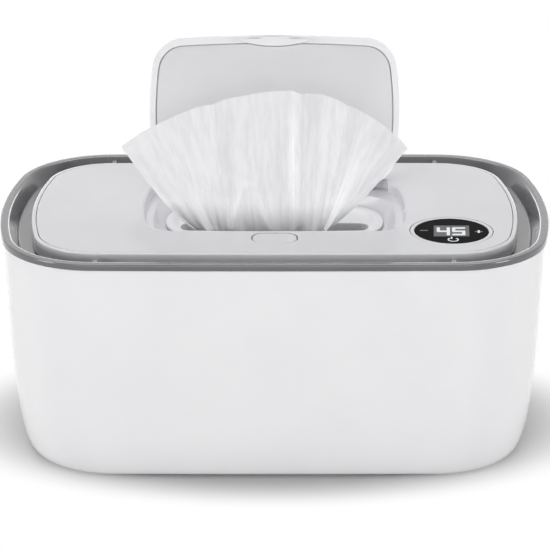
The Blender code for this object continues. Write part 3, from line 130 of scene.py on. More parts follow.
def dialRing(radius, height, soft=0.0):
    # one round ring of a skin, about the control panel's middle
    x, y = panelPlace["x"], panelPlace["y"]
    turns = [2 * math.pi * k / facets["dial"] for k in range(facets["dial"])]
    return [Vector((x + radius * math.cos(t), y + radius * math.sin(t), height)) for t in turns], soft


def between(first, second, share, height, soft=0.0):
    # a ring part of the way from one oval to another
    return [Vector((*a.lerp(b, share), height)) for a, b in zip(first, second)], soft


def softened(rings, closed):
    # each ring with a soft edge becomes a fillet, with one ring either side to hold the flats
    steps = fineness["fillet"]
    made = []
    for j, (loop, soft) in enumerate(rings):
        if soft == 0 or (not closed and j in (0, len(rings) - 1)):
            made.append(loop)
            continue
        before = rings[j - 1][0]
        after = rings[(j + 1) % len(rings)][0]
        for k in range(-1, steps + 2):
            share = min(max(k / steps, 0), 1)
            reach = soft * (fillet["hold"] if k in (-1, steps + 1) else 1)
            points = []
            for a, p, b in zip(before, loop, after):
                start = p + (a - p).normalized() * min(reach, fillet["most"] * (a - p).length)
                stop = p + (b - p).normalized() * min(reach, fillet["most"] * (b - p).length)
                points.append(start * (1 - share) ** 2 + p * 2 * share * (1 - share) + stop * share**2)
            made.append(points)
    return made


def deselect():
    if bpy.context.mode != "OBJECT":
        bpy.ops.object.mode_set(mode="OBJECT")
    bpy.ops.object.select_all(action="DESELECT")


def pick(made):
    deselect()
    made.select_set(True)
    bpy.context.view_layer.objects.active = made


def startEdit(made):
    pick(made)
    bpy.ops.object.mode_set(mode="EDIT")
    bpy.ops.mesh.select_all(action="SELECT")


def stopEdit():
    bpy.ops.object.mode_set(mode="OBJECT")


def skinned(name, rings, closed=True):
    # a circle is laid on the first ring and extruded from ring to ring; an open skin gets flat caps
    loops = softened(rings, closed)
    count = len(loops[0])
    deselect()
    bpy.ops.mesh.primitive_circle_add(vertices=count, enter_editmode=True)
    made = bpy.context.object
    made.name = name
    made.data.name = name
    bpy.ops.mesh.select_mode(type="VERT")
    bm = bmesh.from_edit_mesh(made.data)
    order = list(range(count))
    bm.verts.ensure_lookup_table()
    for i, place in zip(order, loops[0]):
        bm.verts[i].co = place
    if not closed:
        bpy.ops.mesh.edge_face_add()
        bpy.ops.mesh.select_all(action="SELECT")
    for loop in loops[1:] + ([loops[0]] if closed else []):
        bpy.ops.mesh.extrude_edges_move()
        bm = bmesh.from_edit_mesh(made.data)
        bm.verts.index_update()
        bm.verts.ensure_lookup_table()
        above = {}
        for vert in bm.verts:
            if vert.select:
                for edge in vert.link_edges:
                    other = edge.other_vert(vert)
                    if not other.select:
                        above[other.index] = vert.index
        order = [above[i] for i in order]
        for i, place in zip(order, loop):
            bm.verts[i].co = place
    if not closed:
        bpy.ops.mesh.edge_face_add()
    stopEdit()
    merged(made)
    return made


def merged(made):
    # joins corners that coincide and turns every face outward
    startEdit(made)
    bpy.ops.mesh.remove_doubles(threshold=sameCorner)
    bpy.ops.mesh.normals_make_consistent(inside=False)
    stopEdit()


def cutter(oval, inset, low, high):
    # an upright oval tool
    return skinned("cutter", [ring(oval, inset, low), ring(oval, inset, high)], closed=False)


def block(low, high, soft=0.0):
    # a cutter or lug between two corners
    deselect()
    middle = [(a + b) / 2 for a, b in zip(low, high)]
    size = [b - a for a, b in zip(low, high)]
    bpy.ops.mesh.primitive_cube_add(size=1, location=middle, scale=size)
    made = bpy.context.object
    bpy.ops.object.transform_apply(location=True, rotation=True, scale=True)
    if soft:
        startEdit(made)
        bpy.ops.mesh.bevel(offset=soft, segments=fineness["bevel"], affect="EDGES")
        stopEdit()
    return made


def bar(start, stop, radius, points):
    # a round cutter or lug from one point to another
    deselect()
    way = Vector(stop) - Vector(start)
    turn = way.to_track_quat("Z", "Y").to_euler()
    bpy.ops.mesh.primitive_cylinder_add(
        vertices=points, radius=radius, depth=way.length, location=Vector(start) + way / 2, rotation=turn
    )
    bpy.ops.object.transform_apply(location=True, rotation=True, scale=True)
    return bpy.context.object


def upright(x, y, low, high, radius, points):
    return bar((x, y, low), (x, y, high), radius, points)


def carve(target, tool, operation="DIFFERENCE"):
    pick(target)
    change = target.modifiers.new("Carve", "BOOLEAN")
    change.operation = operation
    change.solver = "EXACT"
    change.object = tool
    bpy.ops.object.modifier_apply(modifier=change.name)
    bpy.data.objects.remove(tool, do_unlink=True)


def dress(made, body, slot, look, *replaced):
    # smooth shading, body, finish and the CAD parts that the piece stands for
    merged(made)
    bpy.ops.object.shade_smooth_by_angle(angle=smoothAngle)
    made.data.materials.clear()
    made.data.materials.append(looks[look])
    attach(made, body)
    if replaced:
        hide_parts(*replaced)


class Wire:
    # a socket in a material's tree: sums on it add their Math nodes
    def __init__(self, tree, socket=None):
        self.tree = tree
        self.socket = socket

    def make(self, kind, settings, values, output=0):
        node = self.tree.nodes.new("ShaderNode" + kind)
        for name, value in settings.items():
            setattr(node, name, value)
        for name, value in values.items():
            if isinstance(value, Wire):
                self.tree.links.new(value.socket, node.inputs[name])
            else:
                node.inputs[name].default_value = value
        return Wire(self.tree, node.outputs[output])

    def maths(self, operation, first, second):
        return self.make("Math", {"operation": operation}, {0: first, 1: second})

    def __add__(self, other):
        return self.maths("ADD", self, other)

    def __rsub__(self, other):
        return self.maths("SUBTRACT", other, self)

    def __mul__(self, other):
        return self.maths("MULTIPLY", self, other)

    def scaled(self, scale, turn=0.0):
        return self.make("Mapping", {}, {"Vector": self, "Scale": scale, "Rotation": (0, 0, turn)})

    def noise(self, scale, detail=2.0, roughness=0.5):
        values = {"Vector": self, "Scale": scale, "Detail": detail, "Roughness": roughness}
        return self.make("TexNoise", {}, values)

    def mask(self, low, high):
        # 0 below low, 1 above high
        settings = {"interpolation_type": "SMOOTHSTEP"}
        return self.make("MapRange", settings, {"Value": self, "From Min": low, "From Max": high})

    def colours(self, first, second):
        # the first colour where this is 0, the second where it is 1
        values = {0: self, 6: (*first, 1), 7: (*second, 1)}
        return self.make("Mix", {"data_type": "RGBA"}, values, 2)

    def bump(self, distance, strength=1.0):
        return self.make("Bump", {}, {"Height": self, "Distance": distance, "Strength": strength})


def newMaterial(name, fixed):
    made = bpy.data.materials.new(name)
    made.use_nodes = True
    shader = made.node_tree.nodes["Principled BSDF"]
    for socket, value in fixed.items():
        shader.inputs[socket].default_value = value
    place = Wire(made.node_tree).make("TexCoord", {}, {}, "Object")
    return made, shader, place


feeds = {"colour": "Base Color", "roughness": "Roughness", "normal": "Normal", "alpha": "Alpha"}
feeds["glow"] = "Emission Color"


def feed(shader, **wires):
    for name, wire in wires.items():
        wire.tree.links.new(wire.socket, shader.inputs[feeds[name]])


# moulded plastics: colour, colour of a faint cloud, least and most gloss, grain, its depth, and coat
plastics = {
    "shellWhite": ((0.78, 0.78, 0.792), (0.765, 0.765, 0.778), (0.12, 0.17), 900, 0.0000015, 0.25),
    "linerGrey": ((0.118, 0.117, 0.125), (0.102, 0.101, 0.109), (0.2, 0.26), 2600, 0.000003, 0.65),
    "lidWhite": ((0.60, 0.60, 0.624), (0.58, 0.58, 0.604), (0.12, 0.2), 700, 0.0000015, 0.3),
    "flipWhite": ((0.79, 0.79, 0.805), (0.77, 0.77, 0.786), (0.2, 0.26), 1200, 0.0000008, 0.2),
    "panelGrey": ((0.67, 0.67, 0.685), (0.64, 0.64, 0.655), (0.28, 0.4), 1800, 0.000002, 0.15),
    "guideWhite": ((0.74, 0.74, 0.757), (0.725, 0.725, 0.742), (0.28, 0.32), 1500, 0.000001, 0.1),
    "sealGrey": ((0.42, 0.42, 0.43), (0.37, 0.37, 0.38), (0.5, 0.62), 2400, 0.00001, 0.0),
    "footRubber": ((0.03, 0.03, 0.03), (0.05, 0.05, 0.05), (0.7, 0.85), 3000, 0.00002, 0.0),
    "blackPlastic": ((0.02, 0.02, 0.021), (0.03, 0.03, 0.031), (0.4, 0.55), 2600, 0.00001, 0.0),
    "leadBlack": ((0.016, 0.016, 0.017), (0.026, 0.026, 0.027), (0.45, 0.6), 1800, 0.00001, 0.0),
    "leadRed": ((0.42, 0.025, 0.02), (0.33, 0.02, 0.018), (0.4, 0.55), 1800, 0.00001, 0.0),
    "boardGreen": ((0.015, 0.14, 0.06), (0.01, 0.10, 0.045), (0.3, 0.45), 1400, 0.000015, 0.3),
    "filmOrange": ((0.55, 0.23, 0.05), (0.43, 0.17, 0.035), (0.25, 0.4), 800, 0.00001, 0.2),
}
# what all plastics share; a texture is its scale, detail and roughness
plasticTexture = {"ior": 1.47, "coatGloss": 0.08, "cloud": (28, 3), "cloudMask": (0.35, 0.7)}
plasticTexture.update(smear=(95, 4, 0.6), smearMask=(0.42, 0.72), grainDetail=2)


def mouldedPlastic(name):
    colour, cloudy, (low, high), grain, depth, coat = plastics[name]
    shared = plasticTexture
    fixed = {"IOR": shared["ior"], "Coat Weight": coat, "Coat Roughness": shared["coatGloss"]}
    made, shader, place = newMaterial(name, fixed)
    cloud = place.noise(*shared["cloud"]).mask(*shared["cloudMask"])
    smear = place.noise(*shared["smear"]).mask(*shared["smearMask"])
    fine = place.noise(grain, shared["grainDetail"])
    feed(
        shader,
        colour=cloud.colours(colour, cloudy),
        roughness=smear * (high - low) + low,
        normal=fine.bump(depth),
    )
    return made


# metals: polished and worn colour, least and most gloss, and how close the marks of drawing lie
metals = {
    "springSteel": ((0.60, 0.60, 0.61), (0.44, 0.43, 0.42), (0.22, 0.38), 2080),
    "plateAluminium": ((0.76, 0.77, 0.78), (0.62, 0.63, 0.64), (0.28, 0.42), 4160),
}
metalTexture = {"stretch": (0.04, 1.0, 1.0), "lines": (3, 0.6), "depth": 0.000008, "strength": 0.5}
metalTexture.update(worn=(60, 4, 0.6), wornMask=(0.45, 0.75))


def drawnMetal(name):
    colour, wornColour, (low, high), close = metals[name]
    shared = metalTexture
    made, shader, place = newMaterial(name, {"Metallic": 1.0})
    lines = place.scaled(shared["stretch"]).noise(close, *shared["lines"])
    worn = place.noise(*shared["worn"]).mask(*shared["wornMask"])
    feed(
        shader,
        colour=worn.colours(colour, wornColour),
        roughness=worn * (high - low) + low,
        normal=lines.bump(shared["depth"], shared["strength"]),
    )
    return made


glass = {"colour": (0.004, 0.004, 0.0045), "smeared": (0.008, 0.008, 0.009), "coat": 0.1, "coatGloss": 0.03}
glass.update(smear=(160, 4, 0.65), smearMask=(0.5, 0.75), gloss=0.06, smearGloss=0.07)
glass.update(grain=(300, 1), depth=0.000001)


def windowGloss():
    look = glass
    fixed = {"Specular IOR Level": 0.0, "Coat Weight": look["coat"], "Coat Roughness": look["coatGloss"]}
    made, shader, place = newMaterial("windowGloss", fixed)
    smear = place.noise(*look["smear"]).mask(*look["smearMask"])
    feed(
        shader,
        colour=smear.colours(look["colour"], look["smeared"]),
        roughness=smear * look["smearGloss"] + look["gloss"],
        normal=place.noise(*look["grain"]).bump(look["depth"]),
    )
    return made


# lit marks: colour and power, then what they share
litMarks = {
    "litWhite": ((0.88, 0.90, 0.92), 0.9),
    "litGrey": ((0.24, 0.24, 0.25), 0.7),
    "markGrey": ((0.42, 0.42, 0.43), 0.5),
}
litTexture = {"fleck": (1400, 2), "fleckMask": (0.3, 0.75), "unlit": (0.1, 0.08), "dim": 0.88}
litTexture.update(gloss=0.3, fleckGloss=0.1)


def shaded(colour, share):
    return tuple(share * c for c in colour)


def litMark(name):
    colour, power = litMarks[name]
    shared = litTexture
    made, shader, place = newMaterial(name, {"Emission Strength": power, "Specular IOR Level": 0.0})
    fleck = place.noise(*shared["fleck"]).mask(*shared["fleckMask"])
    feed(
        shader,
        colour=fleck.colours(*(shaded(colour, share) for share in shared["unlit"])),
        glow=fleck.colours(colour, shaded(colour, shared["dim"])),
        roughness=fleck * shared["fleckGloss"] + shared["gloss"],
    )
    return made


# non-woven cloth: crossing fibres, thin places that let light through, and soft upright wrinkles
tissue = {"size": (0.17, 0.12, 1.0), "upright": (1.0, 0.14, 1.0), "wide": (0.2, 1.0, 1.0), "cross": 0.3}
tissue.update(fibres=(2400, 2, 0.6), wrinkles=(110, 2, 0.45), thin=(240, 3, 0.55), thinMask=(0.35, 0.7))
# both cloth colours lie below a white cloth's: painted shade standing in for the shadows the wipe no longer
# throws on itself
tissue.update(colour=(0.755, 0.755, 0.763), thinColour=(0.73, 0.73, 0.74), gloss=0.7, thinGloss=0.1)
tissue.update(cover=0.84, thinCover=0.09, fibreDepth=0.00002, wrinkleDepth=0.0002, bump=(1.0, 0.6))
tissue["sheen"] = {"Sheen Weight": 0.15, "Sheen Roughness": 0.5, "IOR": 1.35}


def wetTissue():
    look = tissue
    made, shader, place = newMaterial("wetTissue", look["sheen"])
    flat = place.make("TexCoord", {}, {}, "UV").scaled(look["size"])
    tall = flat.scaled(look["upright"])
    wide = flat.scaled(look["wide"], look["cross"])
    fibres = tall.noise(*look["fibres"]) + wide.noise(*look["fibres"])
    wrinkles = tall.noise(*look["wrinkles"])
    thin = tall.noise(*look["thin"]).mask(*look["thinMask"])
    feed(
        shader,
        colour=thin.colours(look["colour"], look["thinColour"]),
        roughness=thin * look["thinGloss"] + look["gloss"],
        alpha=look["cover"] - thin * look["thinCover"],
        normal=(fibres * look["fibreDepth"] + wrinkles * look["wrinkleDepth"]).bump(*look["bump"]),
    )
    return made


looks = {name: mouldedPlastic(name) for name in plastics}
looks.update({name: drawnMetal(name) for name in metals})
looks["windowGloss"] = windowGloss()
looks.update({name: litMark(name) for name in litMarks})
looks["wetTissue"] = wetTissue()
print("materials ready,", len(looks))


def numbered(name, count):
    return [f"{name}_{k + 1}" for k in range(count)]


# CAD parts that keep their shape, and the finish of each
keptParts = {
    "footRubber": numbered("foot", 4),
    "springSteel": numbered("tub_screw", 4) + numbered("lid_screw", 6) + numbered("board_screw", 2)
    + ["touch_spring_minus", "touch_spring_plus", "touch_spring_power", "thermal_fuse"]
    + ["hinge_pin_left", "hinge_pin_right", "torsion_spring_left", "torsion_spring_right"],
    "filmOrange": ["heating_film"],
    "boardGreen": ["control_board"],
    "blackPlastic": ["display_module", "power_inlet", "temperature_sensor"],
    "leadBlack": ["inlet_lead"],
    "leadRed": ["heater_lead", "sensor_lead"],
    "lidWhite": ["latch_slide"],
}
for finish, names in keptParts.items():
    for name in names:
        mesh = cadNodes[name].data
        mesh.materials.clear()
        mesh.materials.append(looks[finish])
print("kept parts finished")

# outer shell: tapered wall that curves in to a flat base
outerShell = {"inset": 0.0012, "wall": 0.0022, "taper": 0.033, "curveReach": 0.0092, "curveRise": 0.0618}
outerShell.update(cornerGain=0.87, foot=0.0012, steps=22, lip=0.0005)
cableNotch = {"half": 0.008, "low": 0.0951, "near": 0.06175, "far": 0.079, "over": 0.006, "corner": 0.002}
feet = {"x": 0.0820, "y": 0.0420, "radius": 0.0058, "top": 0.0022}
tubScrews = {"x": 0.0600, "y": 0.0360, "radius": 0.0016, "head": 0.0029, "top": 0.008}
corners = [(-1, -1), (-1, 1), (1, -1), (1, 1)]


def shellWall(inset, base, lip):
    look = outerShell
    rise = look["curveRise"] - base + look["foot"]
    drop = math.atan(look["taper"] * rise / look["curveReach"])
    curveTop = base + rise * (1 - math.sin(drop))
    lean = (shellTop - curveTop) * look["taper"]
    rings = [ring(tubOval, inset, shellTop, lip), ring(tubOval, inset + lean, curveTop)]
    for k in range(1, look["steps"] + 1):
        turn = drop + (math.pi / 2 - drop) * k / look["steps"]
        inward = look["curveReach"] * (math.cos(drop) - math.cos(turn))
        height = base + rise * (1 - math.sin(turn))
        rings.append(ring(tubOval, inset + lean + inward, height, gain=inward * look["cornerGain"]))
    return rings


def cutNotch(target):
    look = cableNotch
    low = (-look["half"], look["near"], look["low"])
    high = (look["half"], look["far"], rim + look["over"])
    carve(target, block(low, high, look["corner"]))


def makeOuterShell():
    look = outerShell
    outside = shellWall(look["inset"], look["foot"], look["lip"])
    inside = shellWall(look["inset"] + look["wall"], look["foot"] + look["wall"], look["lip"])
    made = skinned("outerShell", outside[::-1] + inside, closed=False)
    cutNotch(made)
    for sx, sy in corners:
        x, y = sx * feet["x"], sy * feet["y"]
        carve(made, upright(x, y, -past, feet["top"], feet["radius"], facets["lug"]))
        x, y = sx * tubScrews["x"], sy * tubScrews["y"]
        carve(made, upright(x, y, -past, tubScrews["top"], tubScrews["radius"], facets["screw"]))
        carve(made, upright(x, y, -past, feet["top"], tubScrews["head"], facets["pin"]))
    dress(made, "tub", "shell_white", "shellWhite", "outer_shell")


# inner tub: inset, height and soft edge from the chamber's floor over ledge, slope and rim to its back
innerTub = [
    (0.0320, tubFloor),
    (0.0208, tubFloor, 0.0080),
    (0.0188, ledge, 0.0009),
    (0.0076, ledge, 0.0011),
    (0.0036, rim, 0.0009),
    (0, rim, 0.0009),
    (0, rim - 0.0029, 0.0004),
    (0.0037, rim - 0.0029),
    (0.0062, ledge - 0.0020, 0.0010),
    (0.0168, ledge - 0.0020, 0.0010),
    (0.0188, tubFloor - 0.0020, 0.0100),
    (0.0320, tubFloor - 0.0020),
]
ribs = {"x": 0.0748, "half": 0.00115, "near": 0.0706, "far": 0.06275, "low": 0.0939, "high": 0.1006}
ribs["soft"] = 0.0004


def makeInnerTub():
    made = skinned("innerTub", [ring(tubOval, *row) for row in innerTub], closed=False)
    for sx, sy in corners:
        left, right = sx * ribs["x"] - ribs["half"], sx * ribs["x"] + ribs["half"]
        near, far = sorted((sy * ribs["near"], sy * ribs["far"]))
        carve(made, block((left, near, ribs["low"]), (right, far, ribs["high"]), ribs["soft"]), "UNION")
    cutNotch(made)
    dress(made, "tub", "liner_grey", "linerGrey", "inner_liner")


# white tray under the cover, with the seal's groove and the throat: oval, inset, height and soft edge
lidTray = [
    (tubOval, 0.0153, rim - 0.0027),
    (tubOval, 0.0153, rim, 0.0004),
    (tubOval, 0.0135, rim, 0.0008),
    (tubOval, 0.0135, ledge + 0.0003, 0.0006),
    (tubOval, 0.0200, ledge + 0.0003, 0.0003),
    (tubOval, 0.0200, 0.0934),
    (tubOval, 0.0208, 0.0934),
    (tubOval, 0.0208, 0.0910),
    (tubOval, 0.0200, 0.0910),
    (tubOval, 0.0200, trayLow, 0.0004),
    (tubOval, 0.0219, trayLow, 0.0004),
    (tubOval, 0.0219, 0.0858),
    (mouthOval, -0.0034, 0.0858),
    (mouthOval, -0.0034, trayLow, 0.0003),
    (mouthOval, -0.0020, trayLow, 0.0003),
    (mouthOval, -0.0020, 0.0913),
    (mouthOval, -0.0034, 0.0913),
    (mouthOval, -0.0034, 0.0874),
    (tubOval, 0.0219, 0.0874),
    (tubOval, 0.0219, ledge + 0.0013),
    (tubOval, 0.0168, ledge + 0.0013),
    (tubOval, 0.0168, rim - 0.0027),
]
trayCutTop = 0.0885
lidScrews = [(-0.048, -0.0445), (0.048, -0.0445), (-0.048, 0.047), (0.048, 0.047)]
lidScrews += [(-0.09, 0.014), (0.09, 0.014)]
lidScrewRadius = 0.0016
# openings in the tray: x, y and half sizes for the fuse and the sensor, and the socket's two corners
partWindows = [(0.079, 0.006, 0.0028, 0.0065), (0.069, 0.012, 0.0026, 0.004)]
socketHole = [(-0.0048, 0.05345, 0.09575), (0.0048, 0.0655, 0.0994)]
# seal in the groove: inset, height and soft edge
lidSeal = [(0.0205, 0.0913), (0.0205, 0.0931), (0.0197, 0.0931, 0.0002), (0.0194, 0.0925, 0.0002)]
lidSeal += [(0.0194, 0.0919, 0.0002), (0.0197, 0.0913, 0.0002)]
# plate over the wipes: oval, inset, height and soft edge, then how far its screw holes are cut
heatPlate = [(tubOval, 0.0222, 0.0838, 0.0002), (mouthOval, -0.0037, 0.0838, 0.0002)]
heatPlate += [(mouthOval, -0.0037, 0.0848), (tubOval, 0.0222, 0.0848)]
plateCut = (0.080, 0.088)


def cutScrews(target, low, high):
    for x, y in lidScrews:
        carve(target, upright(x, y, low, high, lidScrewRadius, facets["screw"]))


def makeLidTray():
    made = skinned("lidTray", [ring(*row) for row in lidTray])
    cutScrews(made, trayLow, trayCutTop)
    for x, y, halfX, halfY in partWindows:
        carve(made, block((x - halfX, y - halfY, trayLow), (x + halfX, y + halfY, trayCutTop)))
    carve(made, block(*socketHole))
    dress(made, "lid", "lid_white", "lidWhite", "lid_base")


def makeLidSeal():
    made = skinned("lidSeal", [ring(tubOval, *row) for row in lidSeal])
    dress(made, "lid", "silicone", "sealGrey", "lid_gasket")


def makeHeatPlate():
    made = skinned("heatPlate", [ring(*row) for row in heatPlate])
    cutScrews(made, *plateCut)
    dress(made, "lid", "aluminium", "plateAluminium", "heating_plate")


# glossy top of the lid with the flip lid's pocket and the dish round the mouth; the rings above and
# below the dish have their oval, inset, height and soft edge
lidTop = {"thick": 0.0020, "dishDepth": 0.0040, "dishSteps": 12, "mouthSoft": 0.0004}
lidTop.update(underIn=0.0003, underSteps=4)
lidTop["above"] = [
    (tubOval, 0.0156, rim - 0.0024),
    (tubOval, 0.0156, rim, 0.0004),
    (pocketOval, 0, rim, 0.0013),
    (pocketOval, 0.0006, pocketLedge, 0.0004),
]
lidTop["below"] = [
    (pocketOval, -0.0014, pocketLedge - 0.0020),
    (pocketOval, -0.0014, rim - 0.0020),
    (tubOval, 0.0171, rim - 0.0020),
    (tubOval, 0.0167, rim - 0.0024),
]
# oval, inset, least and greatest height of the hinge recess, the wall behind it and the button's hole
hingeBacking = (backingOval, 0, pocketLedge - 0.0020, rim - 0.0010)
hingeRecess = (recessOval, 0, pocketLedge, rim + past)
buttonHole = (buttonOval, -0.0004, rim - 0.0023, rim + past)
panelPlace = {"x": 0.0759, "y": -0.0329, "hole": 0.01805, "cut": (0.096, 0.106)}
# openings under the pocket's front edge: corners of the one for the catch and the one for the slide
catchHoles = [[(-0.0162, -0.0325, 0.0916), (0.0162, -0.0272, 0.0979)]]
catchHoles += [[(-0.0064, -0.0391, 0.0918), (0.0064, -0.0322, 0.0979)]]
# the hinge's line, and where along it the lid's lugs, the springs and the flip lid's knuckles are
hinge = {"y": 0.0350, "z": 0.1000, "open": 108, "lug": 0.0017, "pin": 0.00096, "gap": 0.0004}
hinge.update(inner=(0.0200, 0.0230), bay=(0.0230, 0.0286), knuckle=(0.0290, 0.0360), outer=(0.0364, 0.0394))
hinge.update(rootLow=0.0966, rootFar=0.0380, lidBore=(0.02075, 0.03865), flipBore=(0.0200, 0.0394))


def hingeBar(side, span, radius, points):
    left, right = sorted(side * x for x in span)
    return bar((left, hinge["y"], hinge["z"]), (right, hinge["y"], hinge["z"]), radius, points)


def hingeBlock(side, span, near, far, low, high):
    left, right = sorted(side * x for x in span)
    return block((left, near, low), (right, far, high))


def dishRings(sink, inset, steps, soft):
    start, stop = ovalPoints(dishOval, inset), ovalPoints(mouthOval, inset)
    rings = []
    for k in range(steps + 1):
        share = k / steps
        height = pocketLedge - sink - lidTop["dishDepth"] * (1 - (1 - share) ** 2)
        rings.append(between(start, stop, share, height, soft if k in (0, steps) else 0.0))
    return rings


def makeLidTop():
    look = lidTop
    rings = [ring(*row) for row in look["above"]]
    rings += dishRings(0, 0, look["dishSteps"], look["mouthSoft"])
    rings += dishRings(look["thick"], look["underIn"], look["underSteps"], 0)[::-1]
    rings += [ring(*row) for row in look["below"]]
    made = skinned("lidTop", rings)
    carve(made, cutter(*hingeBacking), "UNION")
    carve(made, cutter(*hingeRecess))
    x, y = panelPlace["x"], panelPlace["y"]
    carve(made, upright(x, y, *panelPlace["cut"], panelPlace["hole"], facets["dial"]))
    carve(made, cutter(*buttonHole))
    for hole in catchHoles:
        carve(made, block(*hole))
    near, far = hinge["y"] - hinge["lug"], hinge["rootFar"]
    for side in (-1, 1):
        for name in ("inner", "outer"):
            lug = hingeBar(side, hinge[name], hinge["lug"], facets["lug"])
            carve(lug, hingeBlock(side, hinge[name], near, far, hinge["rootLow"], hinge["z"]), "UNION")
            carve(made, lug, "UNION")
        carve(made, hingeBar(side, hinge["lidBore"], hinge["pin"], facets["pin"]))
    dress(made, "lid", "lid_white", "lidWhite", "lid_cover")


# insert in the mouth: flange, shallow funnel and a neck round the slot, as oval, inset, height and edge
guide = {"thick": 0.0010, "top": 0.0952, "dip": 0.0030, "steps": 10, "curve": 1.5, "slotSoft": 0.0005}
guide["flange"] = [(mouthOval, -0.0020, 0.0942), (mouthOval, -0.0020, 0.0952, 0.0005)]
guide["flange"] += [(mouthOval, 0.0010, 0.0952, 0.0012)]
guide["neck"] = [(slotOval, 0, 0.0878, 0.0002), (slotOval, -0.0010, 0.0878, 0.0002)]
guide["neck"] += [(slotOval, -0.0010, 0.0912)]
guide["halfway"] = (0.5, 0.09195)
guide["plug"] = [(mouthOval, 0.0006, 0.0932), (mouthOval, 0.0006, 0.0942)]


def makeWipeGuide():
    look = guide
    wide, tight = ovalPoints(mouthOval, look["thick"]), ovalPoints(slotOval)
    rings = [ring(*row) for row in look["flange"]]
    for k in range(1, look["steps"] + 1):
        share = k / look["steps"]
        height = look["top"] - look["dip"] * (1 - (1 - share) ** look["curve"])
        rings.append(between(wide, tight, share, height, look["slotSoft"] if k == look["steps"] else 0.0))
    rings += [ring(*row) for row in look["neck"]]
    rings.append(between(wide, tight, *look["halfway"]))
    rings += [ring(*row) for row in look["plug"]]
    dress(skinned("wipeGuide", rings), "lid", "silicone", "guideWhite", "wipe_guide")


# flip lid: made closed, then turned open round its hinge; oval, inset, height and soft edge of each ring
flip = {"low": rim - 0.0032, "inner": rim - 0.0015, "gap": 0.0003, "notch": (0.0324, 0.0404)}
flip["panelNotch"] = (0.0196, 0.0398)
flipShell = [
    (flipPanelOval, 0.0030, flip["inner"]),
    (flipPanelOval, 0, flip["inner"], 0.0002),
    (flipPanelOval, 0, flip["low"], 0.0004),
    (flipOval, 0, flip["low"], 0.0004),
    (flipOval, 0, rim, 0.0010),
    (flipOval, 0.0040, rim),
]
flipPanel = [
    (flipPanelOval, 0.0040, flip["low"] + 0.0006),
    (flipPanelOval, flip["gap"], flip["low"] + 0.0006, 0.0004),
    (flipPanelOval, flip["gap"], flip["inner"] - flip["gap"], 0.0001),
    (flipPanelOval, 0.0040, flip["inner"] - flip["gap"]),
]
flipCatch = {"half": 0.0158, "depth": 0.0007, "bulge": 0.0024, "front": -0.0309, "drop": 0.0032}
flipCatch.update(steps=16, root=0.0007, hookHalf=0.0064, hookReach=0.0011, hookHeight=0.0008)


def turnOpen(made):
    startEdit(made)
    pivot = (0, hinge["y"], hinge["z"])
    bpy.ops.transform.rotate(value=math.radians(hinge["open"]), orient_axis="X", center_override=pivot)
    stopEdit()


def crescent(name, grow, low, high):
    # the catch's lip, straight in front and bowed behind
    look = flipCatch
    face = look["front"] - grow
    half, depth, steps = look["half"] + grow, look["depth"] + 2 * grow, look["steps"]
    spots = [(half * (2 * k / steps - 1), face) for k in range(steps + 1)]
    for k in range(steps + 1):
        across = 1 - 2 * k / steps
        spots.append((half * across, face + depth + look["bulge"] * (1 - across**2)))
    return skinned(name, [([Vector((x, y, z)) for x, y in spots], 0.0) for z in (low, high)], closed=False)


def makeFlipLid():
    low, gap = flip["low"], flip["gap"]
    made = skinned("flipLid", [ring(*row) for row in flipShell], closed=False)
    panel = skinned("flipPanel", [ring(*row) for row in flipPanel], closed=False)
    near, far = flip["notch"]
    for side in (-1, 1):
        for first, last in (("inner", "bay"), ("outer", "outer")):
            span = (hinge[first][0] - hinge["gap"], hinge[last][1] + hinge["gap"])
            carve(made, hingeBlock(side, span, near, far, low - past, rim + past))
        carve(made, hingeBar(side, hinge["knuckle"], hinge["lug"], facets["lug"]), "UNION")
        carve(made, hingeBar(side, hinge["flipBore"], hinge["pin"], facets["pin"]))
        carve(panel, hingeBlock(side, flip["panelNotch"], near - gap, far, low - past, rim + past))
    catch = flipCatch
    front, foot = catch["front"], low - catch["drop"]
    lip = crescent("lip", 0, foot, low + catch["root"])
    hook = block(
        (-catch["hookHalf"], front - catch["hookReach"], foot),
        (catch["hookHalf"], front + catch["depth"] / 2, foot + catch["hookHeight"]),
    )
    carve(lip, hook, "UNION")
    carve(made, lip, "UNION")
    carve(panel, crescent("gap", gap, low - past, rim))
    turnOpen(made)
    turnOpen(panel)
    dress(made, "flip_lid_body", "lid_white", "flipWhite", "flip_lid")
    dress(panel, "flip_lid_body", "panel_grey", "panelGrey", "flip_lid_panel")


# control panel: radius, height and soft edge of each ring of its window and of the ring round it
panelWindow = [(0.01575, rim - 0.0021), (0.01575, rim, 0.0003), (0.01475, rim)]
panelRing = [(0.01605, 0.0996), (0.01605, rim, 0.0003), (0.01775, rim, 0.0004), (0.01775, rim - 0.0023)]
panelRing += [(0.01895, rim - 0.0023), (0.01895, 0.0988), (0.01485, 0.0988), (0.01485, 0.0996)]
# the display's and the digits' plates
display = {"half": (0.0076, 0.0068), "drop": 0.0003, "lift": 0.00003, "thick": 0.00004}
digits = {"size": (0.0057, 0.0100), "stroke": (0.0014, 0.0018), "cut": 0.5, "over": 0.00005}
digits.update(four=-0.0035, five=0.0031, down=-0.0009)
markLean = 0.0625
# strokes of a digit, in halves of its size: where each starts and stops, left to right and low to high
digitStrokes = {
    "four": [((-1, 0), (-1, 1)), ((-1, 0), (1, 0)), ((1, -1), (1, 1))],
    "five": [((-1, 1), (1, 1)), ((-1, 0), (-1, 1)), ((-1, 0), (1, 0)), ((1, -1), (1, 0))],
}
digitStrokes["five"] += [((-1, -1), (1, -1))]
